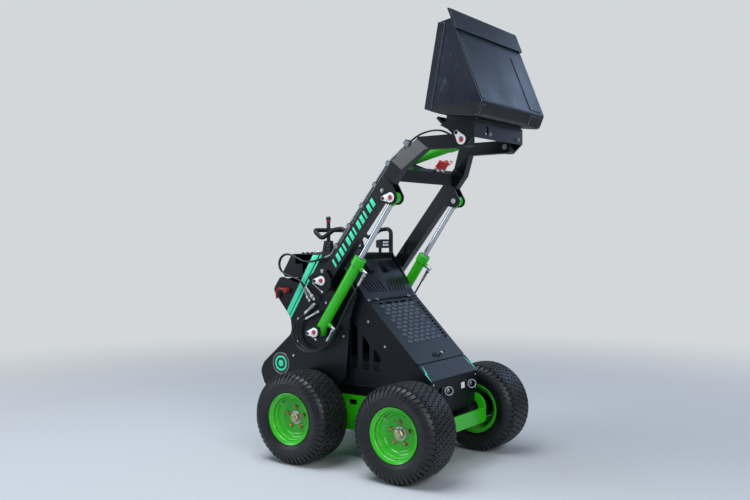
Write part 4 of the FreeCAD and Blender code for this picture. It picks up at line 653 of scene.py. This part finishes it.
for end_name, ahead in (("front", 1), ("rear", -1)):
    for side, across in SIDES:
        where = f"{end_name}_{side}"
        for name, shape, material, node in WHEEL_PIECES:
            piece(f"{name}_{where}", mirrored(laid(shape, (ahead * WHEEL_X, -WHEEL_Y, WHEEL_Z), SIDE), across),
                  material, "wheel_" + where, replaces=(f"{node}_{where}",) if node else ())


# Frames of the machine's faces: rows x, y and z, with z out of the face.
ROOT_HALF = math.sqrt(0.5)
ARM_TURN = math.radians(51.4)
ARM_WAY = np.array([math.cos(ARM_TURN), 0, math.sin(ARM_TURN)])
ARM_RISE = np.array([-math.sin(ARM_TURN), 0, math.cos(ARM_TURN)])
FRONT = axes((0, 1, 0), (1, 0, 0))
LID = axes((ROOT_HALF, 0, -ROOT_HALF), (ROOT_HALF, 0, ROOT_HALF))
ARM_SIDE = axes(ARM_WAY, (0, -1, 0))
# Pins in side view (x, z), corners of the lid and arm, and each outside face's y (the nose's x).
PIVOT, LIFT_BASE_PIN = (-0.235, 1.013), (-0.288, 0.722)
LIFT_TOP_PIN, COUPLER_PIN = (0.22587, 1.46209), (0.60307, 1.74841)
LID_PLACE = np.array((-0.008, 0, 0.900))
ARM_PLACE = np.array((PIVOT[0], 0, PIVOT[1]))
TOWER_FACE, PANEL_FACE, ARM_FACE, EAR_FACE, NOSE_FACE = -0.285, -0.250, -0.355, -0.372, 0.402
FILM, SUNK = 0.5, 0.3  # how thick a film is, and how far trim's foot goes into its face


def marks(outlines):
    """Thin films of the given outlines, lying on z = 0."""
    soft = FILM * 0.6
    return joined(*[slab(outline, (0, -0.4), (0, soft), (soft, FILM)) for outline in outlines])


def on_side(shape, y, rows=SIDE, x=0.0, z=0.0):
    """A shape drawn in side view, laid on the right side at y, with its twin on the left."""
    return both_sides(laid(shape, (x, y, z), rows))


# Cut vinyl: a broad and a thin stripe across each tower plate, slanted bars on each arm, a zigzag on each lip.
STRIPES = [[(-369, 1153), (-324, 1153), (-549, 800), (-570, 822)],
           [(-313, 1153), (-302, 1153), (-535, 783), (-549, 791)]]
BARS, BAR_START, BAR_PITCH, BAR_WIDE, BAR_HALF_TALL, BAR_LEAN = 12, 112, 37.5, 24, 21.5, 13
NARROW_EVERY, NARROW_SHARE = 3, 0.55
ZIGZAG = [(472, 30), (530, 20), (523, 11), (584, 6), (522, -1), (529, 9)]


def slanted_bar(number):
    """A parallelogram in its place along the arm; every third one is narrow."""
    start, wide = BAR_START + number * BAR_PITCH, BAR_WIDE * (1 if number % NARROW_EVERY else NARROW_SHARE)
    return [(start, -BAR_HALF_TALL), (start + wide, -BAR_HALF_TALL),
            (start + wide + BAR_LEAN, BAR_HALF_TALL), (start + BAR_LEAN, BAR_HALF_TALL)]


piece("tower_stripes", on_side(marks(STRIPES), TOWER_FACE), MINT_VINYL)
arm_bars = marks([slanted_bar(number) for number in range(BARS)])
piece("arm_bars", on_side(arm_bars, ARM_FACE, ARM_SIDE, *PIVOT), MINT_VINYL, "boom")
piece("lip_zigzags", both_sides(laid(marks([ZIGZAG]), LID_PLACE + (0, PANEL_FACE, 0), LID)), MINT_VINYL)


# Round plate at the tower's tail: a grey rim round a dark disc that carries a bare mint ring and dot.
def flat_ring(inner, outer, tall):
    """A washer with soft upper edges."""
    soft = min(0.6, tall / 2)
    return hollow([(outer, 0), (outer, tall - soft), (outer - soft, tall), (inner + soft, tall),
                   (inner, tall - soft), (inner, 0)], 64)


TAIL_PLATE = (-0.617, 0.511)
for part, shape, material in (
        ("rim", flat_ring(57.5, 65, 2), STEEL_TUBE),
        ("disc", turned([(0, 0), (57.8, 0), (57.8, 0.8), (0, 0.8)], 64), BLACK_PLASTIC),
        ("ring", flat_ring(33.5, 45.5, 1.4), MINT_VINYL),
        ("dot", turned([(0, 0), (19.5, 0), (19.5, 1), (19, 1.4), (0, 1.4)], 40), MINT_VINYL)):
    piece("tail_plate_" + part, on_side(shape, TOWER_FACE, SIDE, *TAIL_PLATE), material)

# Keeper faces: a white plate, a red cap on the pin and a bolt in the tail, as the steel keeper under them.
KEEPERS = [  # name, body, pin, y of its outside, tail's direction in degrees
    ("pivot", "chassis", PIVOT, -0.378, 183), ("lift_base", "chassis", LIFT_BASE_PIN, -0.378, 190),
    ("lift_top", "boom", LIFT_TOP_PIN, -0.369, 184), ("coupler", "boom", COUPLER_PIN, -0.280, 128),
]
KEEPER_HEAD, KEEPER_TAIL, KEEPER_LONG = 25, 11.8, 46


def drop_outline(head, tail, long):
    """Two circles joined by their outer tangents."""
    lean = math.acos((head - tail) / long)
    near = np.linspace(lean, 2 * math.pi - lean, 26)
    far = np.linspace(-lean, lean, 12)
    return np.vstack([circle(near) * head, circle(far) * tail + (long, 0)])


tail_bolt = joined(slab(ngon(6, 7.5), (0, 0), (0, 5.2), (1, 6)),
                   turned([(9.5, 0), (9.5, 1.5), (0, 1.5)], 20))
KEEPER_PARTS = [
    ("plate", slab(drop_outline(KEEPER_HEAD, KEEPER_TAIL, KEEPER_LONG), (0, -0.5), (0, 1.2), (1.2, 2)), WHITE_PLATE),
    ("pin_end", hollow([(16.5, 0), (16.5, 3.6), (15, 4.4), (12.2, 4.4), (11.5, 3.6), (11.5, 0)], 28), ZINC),
    ("cap", turned([(11.2, 0), (11.2, 3.3), (8.5, 4.5), (0, 5)], 24), RED_PLASTIC),
    ("bolt", laid(tail_bolt, (KEEPER_LONG / 1000, 0, 0.001)), CAST_BLACK),
]
for name, body, pin_at, y, degrees in KEEPERS:
    turn = math.radians(degrees)
    for part, shape, material in KEEPER_PARTS:
        rows = axes((math.cos(turn), 0, math.sin(turn)), (0, -1, 0))
        piece(f"keeper_{part}_{name}", on_side(shape, y, rows, *pin_at), material, body)

# Button screws in the side panels and tower plates, and hexagon bolts elsewhere.
button = turned([(7.5, -0.3), (7.5, 0.8), (6.5, 2.6), (4, 3.8), (0, 4.2)], 20)
washer_bolt = joined(turned([(11, -0.3), (11, 1.8), (9.5, 2.2), (0, 2.2)], 24),
                     slab(ngon(6, 8.8), (0, 2), (0, 7.8), (1.2, 9)))
SCREWS = [(-0.005, PANEL_FACE, 0.786), (0.107, PANEL_FACE, 0.655), (-0.482, TOWER_FACE, 0.781),
          (-0.483, TOWER_FACE, 0.651), (-0.520, TOWER_FACE, 0.562), (-0.274, TOWER_FACE, 0.883),
          (-0.150, TOWER_FACE, 0.700)]
LEDGE_BOLTS = [(0.677, -0.112, 1.783), (0.677, 0.215, 1.783)]
piece("body_screws", both_sides(repeated(button, SCREWS, SIDE)), ZINC)
piece("ear_bolts", on_side(washer_bolt, EAR_FACE, SIDE, -0.230, 1.066), ZINC)
piece("clevis_bolts", on_side(washer_bolt, -0.363, SIDE, 0.172, 1.500), ZINC, "boom")
piece("ledge_bolts", repeated(washer_bolt, LEDGE_BOLTS, FRONT), ZINC, "coupler")

# Linch pins that hang under the pivot and base pins.
LINCH_HEAD = (0.010, 0, -0.007)
for name, ends in (("pivot", [(-300, -373.5, 998), (-236, -373.5, 953)]),
                   ("lift_base", [(-316, -373.5, 702), (-284, -373.5, 684)])):
    start, end = in_metres(ends)
    pin = joined(carried(np.linspace(start, end, 6), 0.0026, 10),
                 carried(np.linspace(end, end + LINCH_HEAD, 3), 0.0055))
    piece("linch_pin_" + name, both_sides(pin), ZINC)

# Hood lid: stamped tiles that fill the grille's cells with painted shade in the gaps round them, slots above them
# drawn as painted shade, and a paddle latch below.
ROWS, COLUMNS, ROW_PITCH, COLUMN_PITCH = 11, 6, 0.026, 0.060
GRILLE_START, GRILLE_SHIFT = 0.048, -0.005
CELL = [(-9, -16), (0, -24), (9, -16), (9, 16), (0, 24), (-9, 16)]
row, column = pairs(ROWS, COLUMNS)
kept = (row % 2 == 0) | (column < COLUMNS - 1)
row, column = row[kept], column[kept]
cell_y = (column - (COLUMNS - 1) / 2 + (row % 2) / 2) * COLUMN_PITCH + GRILLE_SHIFT
cell_places = np.column_stack([GRILLE_START + row * ROW_PITCH, cell_y, np.zeros(len(row))])
tile = slab(CELL, (0.4, -5), (0.4, 0.2), (-1.8, 0.4), (-1.8, 1), (0.2, 1.6), (2.6, 1.2))
# The film round each tile is painted shade in the dark gaps between tiles.
painted_gap_shade = slab(CELL, (-3.7, -SUNK), (-3.7, 0.3), (-3.4, 0.5))
for name, shape, material in (("tiles", tile, GRILLE_GREY), ("painted_gap_shades", painted_gap_shade, DEEP_SHADOW)):
    piece("grille_" + name, laid(repeated(shape, cell_places), LID_PLACE, LID), material, "hood")


def oval(long, wide, steps=10):
    """A slot outline with round ends; long runs across the machine."""
    end = circle(np.linspace(0, math.pi, steps)) * wide / 2 + (0, (long - wide) / 2)
    return np.vstack([end, -end])


DASH_X, DASH_WIDE = 0.028, 11
DASHES = [(-0.150, 36), (-0.075, 64), (0.000, 36), (0.075, 64), (0.148, 36)]  # y in metres, length
# The dashes are painted shade: flat near-black films where the slots lie dark.
dashes = joined(*[laid(slab(oval(long, DASH_WIDE), (0, -SUNK), (0, SUNK)), (DASH_X, y, 0)) for y, long in DASHES])
piece("lid_dashes", laid(dashes, LID_PLACE, LID), DEEP_SHADOW, "hood")
LATCH = np.array([(-13, -42), (-9, -46), (9, -46), (13, -42), (13, 20), (9, 24), (-9, 24), (-13, 20)])
LATCH_DOWN, KEY_UP = 0.4215, 0.038
paddle = joined(slab(LATCH, (0, -1), (0, 4), (1.5, 6), (4, 6), (5.5, 3)),
                slab(LATCH * 0.62, (0, 2), (0, 7.5), (2, 9)))
key_bow = laid(slab(ngon(16, 9), (0, -1), (0, 1)), (0.004, 0, 0.026), axes((0, 0, 1), (0, 1, 0)))
latch_key = joined(turned([(8.5, 0), (8.5, 9), (7, 10.5), (0, 10.5)], 24),
                   slab(ngon(4, 3), (0, 10.5), (0, 22.5)), key_bow)
latch_place = LID_PLACE + LATCH_DOWN * LID[0]
piece("latch_paddle", laid(paddle, latch_place, LID), BLACK_PLASTIC, "hood")
piece("latch_key", laid(laid(latch_key, (0, KEY_UP, 0)), latch_place, LID), ZINC, "hood")


def hoop(radius, thick, step, sides):
    """A wire ring: a small circle with a corner every step, turned round z."""
    return hollow(circle(np.arange(0, 2 * math.pi - 0.01, step)) * thick + (radius, 0), sides)


# Nose: chrome tie rings that stand out at a slant, each in a small eye, and a blank label.
RING_SLANT = math.radians(48)
RING_FACES = axes((0, 0, 1), (math.cos(RING_SLANT), -math.sin(RING_SLANT), 0))
ring = hoop(22.5, 3.6, math.pi / 5, 40)
ring_eye = turned([(13, -0.3), (13, 3), (9, 5), (7, 10), (0, 11)], 24)
for name, y, z in (("right", -0.100, 0.424), ("left", 0.152, 0.428)):
    stood = joined(laid(ring, (NOSE_FACE + 0.0185, y, z), RING_FACES),
                   laid(ring_eye, (NOSE_FACE, y + 0.016, z), FRONT))
    piece("nose_ring_" + name, stood, CHROME)
label = slab(rectangle(19, 16.5), (0, -0.2), (0, 0.6))
piece("nose_label", laid(label, (NOSE_FACE, 0.084, 0.427), FRONT), WHITE_PLATE)
nose_button = turned([(5, -SUNK), (5, 1), (3.5, 3), (0, 3.4)], 16)
NOSE_SCREWS = [(NOSE_FACE, y, z) for y in (-0.225, 0.225) for z in (0.395, 0.470)]
piece("nose_screws", repeated(nose_button, NOSE_SCREWS, FRONT), ZINC)

# Auxiliary couplings: a red dust cap with its pull ring on each, and a plated sleeve under it.
COUPLING_ALONG, COUPLING_RISE, SLEEVE_BACK = 0.826, 0.012, 0.046
COUPLING_FACES = axes((0, 1, 0), ARM_WAY)
dust_cap = turned([(16.5, -30), (17.8, -29), (17.8, -14), (16.5, -12), (16.5, 2), (19.5, 4), (19.5, 9),
                   (16.5, 12), (0, 13)], 28)
pull_ring = laid(hoop(21, 2.4, 2 * math.pi * 3 / 32, 32), (0.030, 0, 0.006), axes((1, 0, 0), (0, 1, 0.3)))
sleeve = turned([(17.6, 0), (17.6, 13), (16.5, 14), (16.5, 0)], 28)
for name, y in (("inner", 0.075), ("outer", 0.127)):
    place = ARM_PLACE + COUPLING_ALONG * ARM_WAY + COUPLING_RISE * ARM_RISE + (0, y, 0)
    piece("coupling_cap_" + name, laid(joined(dust_cap, pull_ring), place, COUPLING_FACES), RED_PLASTIC, "boom")
    piece("coupling_sleeve_" + name, laid(sleeve, place - SLEEVE_BACK * ARM_WAY, COUPLING_FACES), ZINC, "boom")

# Lift rods end in a painted eye and a painted socket.
LIFT_Y = -0.3275
LIFT_TOP = (LIFT_TOP_PIN[0], LIFT_Y, LIFT_TOP_PIN[1])
LIFT_WAY = unit(np.insert(np.subtract(LIFT_TOP_PIN, LIFT_BASE_PIN), 1, 0))
EYE = [(30.4, -21.8), (30.4, 21.8), (29.2, 22.2), (16, 22.2), (15.2, 21.8), (15.2, -21.8), (16, -22.2),
       (29.2, -22.2)]
SOCKET = [(15.6, -42.5), (19.5, -41.5), (22.5, -38), (22.5, -24), (15.6, -24)]
painted_eye = joined(laid(hollow(EYE, 40), LIFT_TOP, SIDE),
                     laid(hollow(SOCKET, 32), LIFT_TOP, axes((0, 1, 0), LIFT_WAY)))
for side, across in SIDES:
    piece("painted_eye_" + side, mirrored(painted_eye, across), GREEN, "lift_piston_" + side)

# Joysticks: bellows folds, a red band, a pale tip button. Lamps: a bezel and emitters over a bright reflector.
STICK_FOOT, LAMP_FACE = (-0.361, -0.150, 1.158), (-0.158, -0.14, 1.213)
BELLOWS_TALL, BELLOWS_FOLDS, FOLD_DEEP = 72.5, 8, 2.2
rise = np.linspace(0, 1, 57)
fold = 38.5 - 12.5 * rise + FOLD_DEEP * np.cos(rise * 2 * math.pi * BELLOWS_FOLDS)
bellows = np.vstack([[(0, 0.5)], np.column_stack([fold, 1 + rise * BELLOWS_TALL]), [(13, 76), (0, 76.5)]])
band = hollow([(11.2, 186), (12.6, 187), (12.6, 196), (11.2, 197)], 28)
tip = turned([(8.5, 214), (8.5, 219.2), (6, 220), (0, 220)], 20)
LENS = rectangle(35, 23)
bezel = slab(LENS, (0, -1), (0, 1.6), (0.8, 2.2), (3, 2.2), (3.6, 0.8))
led = turned([(6.2, 0.4), (6.2, 1.4), (4.8, 0.9), (2.6, 2.4), (0, 2.7)], 16)
spots = [(x, y, 0.0006) for x in (-0.0225, -0.0075, 0.0075, 0.0225) for y in (-0.0085, 0.0085)]
CONTROLS = [  # name, shape, its place on the right side, frame, material, slot if not the material's own
    ("grip_band", band, STICK_FOOT, UPRIGHT, RED_PLASTIC, None),
    ("grip_button", tip, STICK_FOOT, UPRIGHT, WHITE_PLATE, "black_plastic"),
    ("lamp_bezel", bezel, LAMP_FACE, FRONT, BLACK_PLASTIC, None),
    ("lamp_reflector", slab(LENS * 0.86, (0, 0), (0, 0.7)), LAMP_FACE, FRONT, ZINC, None),
    ("lamp_emitters", repeated(led, spots), LAMP_FACE, FRONT, LAMP_GLASS, None),
]
for side, across in SIDES:
    foot = np.multiply(STICK_FOOT, (1, across, 1))
    piece("bellows_" + side, laid(turned(bellows, 40), foot), BLACK_PLASTIC, crease=60)
    for name, shape, place, rows, material, slot in CONTROLS:
        place = np.multiply(place, (1, across, 1))
        piece(f"{name}_{side}", laid(shape, place, rows), material)


def facing(normal):
    """A frame on a sloping face, with x across the machine."""
    return axes((0, 1, 0), unit(normal))


# Console: two rows of rocker switches and a round gauge with a bare dial.
CONSOLE_TOP, CONSOLE_FACES = (-0.560, 0, 1.1560), facing((-0.004, 0, 0.087))
rocker = joined(slab(rectangle(11, 7), (0, 0), (0, 3), (1, 4)),
                slab(rectangle(4, 5) - (4, 0), (0, 4), (0, 7.5), (1, 8)))
rockers = [(y, back, 0.0) for y in (-0.12, -0.08, 0.08, 0.12) for back in (-0.018, 0.018)]
piece("console_rockers", laid(repeated(rocker, rockers), CONSOLE_TOP, CONSOLE_FACES), BLACK_PLASTIC)
gauge = turned([(30, 0), (30, 7), (28, 9), (25.5, 9), (24.5, 6.5), (0, 6.5)], 40)
piece("console_gauge", laid(gauge, CONSOLE_TOP, CONSOLE_FACES), ZINC)

# Front cowl: the two sheets of the CAD cowl, with the slots' lower ends towards the middle, and a sheet that
# carries the lid's slope up to their crease. Two small covers sit under the ledge.
COWL_HALF, COWL_WALL, COWL_TOP = 0.250, (-0.005, 0, -0.002), 2.0
COWL_BASE = (-0.012, 0.904)
SLOT_FOOT, SLOT_HEAD, SLOT_LEAN, SLOT_WIDE = 0.939, 1.005, 0.028, 0.011
SLOT_PLACES = 0.018 + 0.031 * np.arange(6)


def cowl_point(y, z):
    """Out = 1 - |y| / half; the line from its low to its high point, met at height z and clipped to its ends."""
    out = 1 - np.abs(y) / COWL_HALF
    low = np.stack([-0.012 - 0.021 * out, 0.904 + 0.021 * out], axis=-1)
    high = np.stack([-0.186 + 0.042 * out, np.full_like(out, 1.1257)], axis=-1)
    share = np.clip((z - low[..., 1]) / (high[..., 1] - low[..., 1]), 0, 1)[..., None]
    across = low * (1 - share) + high * share
    return np.stack([across[..., 0], y, across[..., 1]], axis=-1)


def cowl_sheet():
    """A grid of five levels whose slot columns lean outwards; the quads of the slots are left out."""
    edges = (SLOT_PLACES[:, None] + np.array([-0.5, 0.5]) * SLOT_WIDE).ravel()
    foot = np.concatenate([[0], edges, [COWL_HALF]])
    head = np.concatenate([[0], edges + SLOT_LEAN, [COWL_HALF]])
    foot, head = (np.concatenate([-line[:0:-1], line]) for line in (foot, head))
    base = np.column_stack([np.full_like(foot, COWL_BASE[0]), foot, np.full_like(foot, COWL_BASE[1])])
    levels_at = [(foot, 0), (foot, SLOT_FOOT), (head, SLOT_HEAD), (head, COWL_TOP)]
    front = np.stack([base] + [cowl_point(line, np.full_like(line, z)) for line, z in levels_at])
    levels, columns = front.shape[:2]
    level, column = pairs(levels - 1, columns - 1)
    half = columns // 2
    from_middle = np.where(column >= half, column - half, half - 1 - column)
    kept = (level != 2) | (from_middle % 2 == 0)
    start = (level * columns + column)[kept]
    quads = np.column_stack([start, start + 1, start + columns + 1, start + columns])
    sides = np.stack([quads, np.roll(quads, -1, axis=1)], axis=-1).reshape(-1, 2)
    codes = np.sort(sides, axis=1) @ (levels * columns, 1)
    known, times = np.unique(codes, return_counts=True)
    single = sides[np.isin(codes, known[times == 1])]
    shift = levels * columns
    walls = np.column_stack([single, single[:, ::-1] + shift])
    faces = np.vstack([quads, quads[:, ::-1] + shift, walls])
    points = front.reshape(-1, 3)
    return np.vstack([points, points + COWL_WALL]), faces.ravel(), np.full(len(faces), 4)


piece("cowl_sheet", cowl_sheet(), BLACK, crease=20, replaces=("front_cowl",))
COVER = [(-19, -30), (19, -30), (23, -20), (23, 30), (-23, 30), (-23, -20)]
cover = laid(slab(COVER, (0, -12), (0, 7), (4, 11)), (-0.117, -0.085, 1.078), facing((-0.2, 0, -0.15)))
piece("cowl_covers", both_sides(cover), BLACK)

# Skid plates on the bucket's floor and heel, a broad one and a narrow one; each stops short of the bend.
FLOOR_TOP, HEEL, HEEL_END = (np.array((COUPLER_PIN[0] + x, 0, COUPLER_PIN[1] + z)) for x, z in
                             ((0.036, 0.4895), (0.163, 0.172), (0.1345, 0.1036)))
SKID_THICK, SKID_SUNK, BEND_GAP = 4, 1, 0.0165


def skid_plate(start, end, low, high):
    """A flat plate from start to end on a bucket face, between two distances across the machine."""
    long, way = np.linalg.norm(end - start) * 1000, unit(end - start)
    plate = slab([(0, low), (long, low), (long, high), (0, high)], (0, -SKID_SUNK), (0, SKID_THICK - 1),
                 (1, SKID_THICK))
    return laid(plate, start, axes(way, (-way[2], 0, way[0])))


floor_way, heel_way = unit(HEEL - FLOOR_TOP), unit(HEEL_END - HEEL)
for name, low, high in (("broad", 200, 330), ("narrow", -350, -316)):
    plates = joined(skid_plate(FLOOR_TOP, HEEL - floor_way * BEND_GAP, low, high),
                    skid_plate(HEEL + heel_way * BEND_GAP, HEEL_END, low, high))
    piece("bucket_skid_" + name, plates, BUCKET_BLACK, "coupler")

# Coupler's locking pin.
locking_pin = turned([(0, 0), (9, 0), (10.5, 1.5), (10.5, 30), (12.5, 32), (12.5, 38), (0, 39)], 24)
piece("locking_pin", laid(locking_pin, (0.520, -0.200, 1.826), axes((0, 1, 0), (-1, 0, 0))), ZINC, "coupler")


def hose_end(foot, tip):
    """Along a fitting's line: two hexagons near the elbow and three crimped rings near the hose."""
    foot, tip = np.array(foot), np.array(tip)
    way = unit(tip - foot)
    long = np.linalg.norm(tip - foot)
    nut = slab(ngon(6, 11.8), (1, 11.5), (0, 13), (0, 25), (1, 26.5))
    shank = slab(ngon(6, 10.2), (0, 26.5), (0, 34), (1, 35))
    crimp = hollow([(7.6, 0), (8.9, 1.2), (8.9, 4.2), (7.6, 5.4)], 24)
    crimps = repeated(crimp, [(0, 0, long - 0.007 - 0.0075 * step) for step in range(3)])
    return laid(joined(nut, shank, crimps), foot, axes(np.cross(way, (0, 1, 0)), way))


def hose_ends(pairs):
    """The ends of several hoses, from pairs of foot and tip."""
    return joined(*[hose_end(*pair) for pair in pairs])


PORT_BACK = 0.0865
BOOM_TAPS = [((-0.377, -0.307, 0.893), BOOM_OUTER[0]), ((-0.331, -0.322, 0.903), BOOM_INNER[0])]
LIFT_TAPS = [((-0.315, -0.305, 0.830), LIFT_BASE[0]), ((-0.343, -0.307, 0.872), LIFT_ROD[0])]
PORTS = [(np.array(route[-1]) + LIFT_WAY * PORT_BACK, route[-1]) for route in (LIFT_BASE, LIFT_ROD)]
piece("tap_nuts", joined(hose_ends(BOOM_TAPS), both_sides(hose_ends(LIFT_TAPS))), ZINC)
for side, across in SIDES:
    piece("port_nuts_" + side, mirrored(hose_ends(PORTS), across), ZINC, "lift_cylinder_" + side)


# Floor, backdrop and soft studio light. The flat floor keeps the shadows near the machine and fades to the
# backdrop's colour further out.
BACKDROP, FLOOR_GREY = "#d3d7da", "#c3c6c8"
FLOOR_REACH, FADE_START, FADE_END = 60.0, 1.6, 6.5
mesh = bpy.data.meshes.new("floor")
corners = [(x, y, 0) for x, y in rectangle(FLOOR_REACH, FLOOR_REACH)]
mesh.from_pydata(corners, [], [(0, 1, 2, 3)])
material, tree, bsdf = new_material("matt_stage_floor", Roughness=0.9, Specular_IOR_Level=0.1)
bsdf.inputs["Base Color"].default_value = linear(FLOOR_GREY)
where = add(tree, "ShaderNodeTexCoord").outputs["Object"]
away = add(tree, "ShaderNodeVectorMath", {"operation": "LENGTH"}, where)
far = add(tree, "ShaderNodeMapRange",
          {"interpolation_type": "SMOOTHSTEP", "From Min": FADE_START, "From Max": FADE_END},
          Value=away.outputs["Value"])
camera_ray = add(tree, "ShaderNodeLightPath").outputs["Is Camera Ray"]
glow = add(tree, "ShaderNodeEmission", {"Color": linear(BACKDROP)})
share = calculated(tree, "MULTIPLY", far.outputs["Result"], camera_ray)
mix = add(tree, "ShaderNodeMixShader", {}, share, bsdf.outputs["BSDF"], glow.outputs["Emission"])
feed(tree, tree.nodes["Material Output"].inputs["Surface"], mix.outputs["Shader"])
mesh.materials.append(material)
linked("floor", mesh)

LIGHTS = [  # name, place, width, watts, colour
    ("sky_softbox", (-0.6, -1.5, 6.0), 4.0, 330, "#f2f7ff"),
    ("front_softbox", (5.0, -3.0, 3.2), 2.6, 150, "#ffffff"),
    ("left_softbox", (-4.5, -4.0, 2.6), 2.6, 80, "#eef4ff"),
    ("back_softbox", (1.5, 5.5, 3.4), 2.6, 42, "#b4ccf5"),
]
MACHINE_MIDDLE = Vector((0.0, 0.0, 1.0))
for name, place, wide, watts, colour in LIGHTS:
    data = bpy.data.lights.new(name, "AREA")
    data.size, data.energy, data.color = wide, watts, linear(colour)[:3]
    turn = (MACHINE_MIDDLE - Vector(place)).to_track_quat("-Z", "Y").to_matrix().to_4x4()
    linked(name, data).matrix_world = Matrix.Translation(place) @ turn

world = bpy.data.worlds.new("studio")
scene.world = world
world.use_nodes = True
sky = world.node_tree
camera_ray = add(sky, "ShaderNodeLightPath").outputs["Is Camera Ray"]
feed(sky, sky.nodes["Background"].inputs["Color"], mixed(sky, camera_ray, "#7c8896", BACKDROP))

scene.view_settings.view_transform = "Standard"
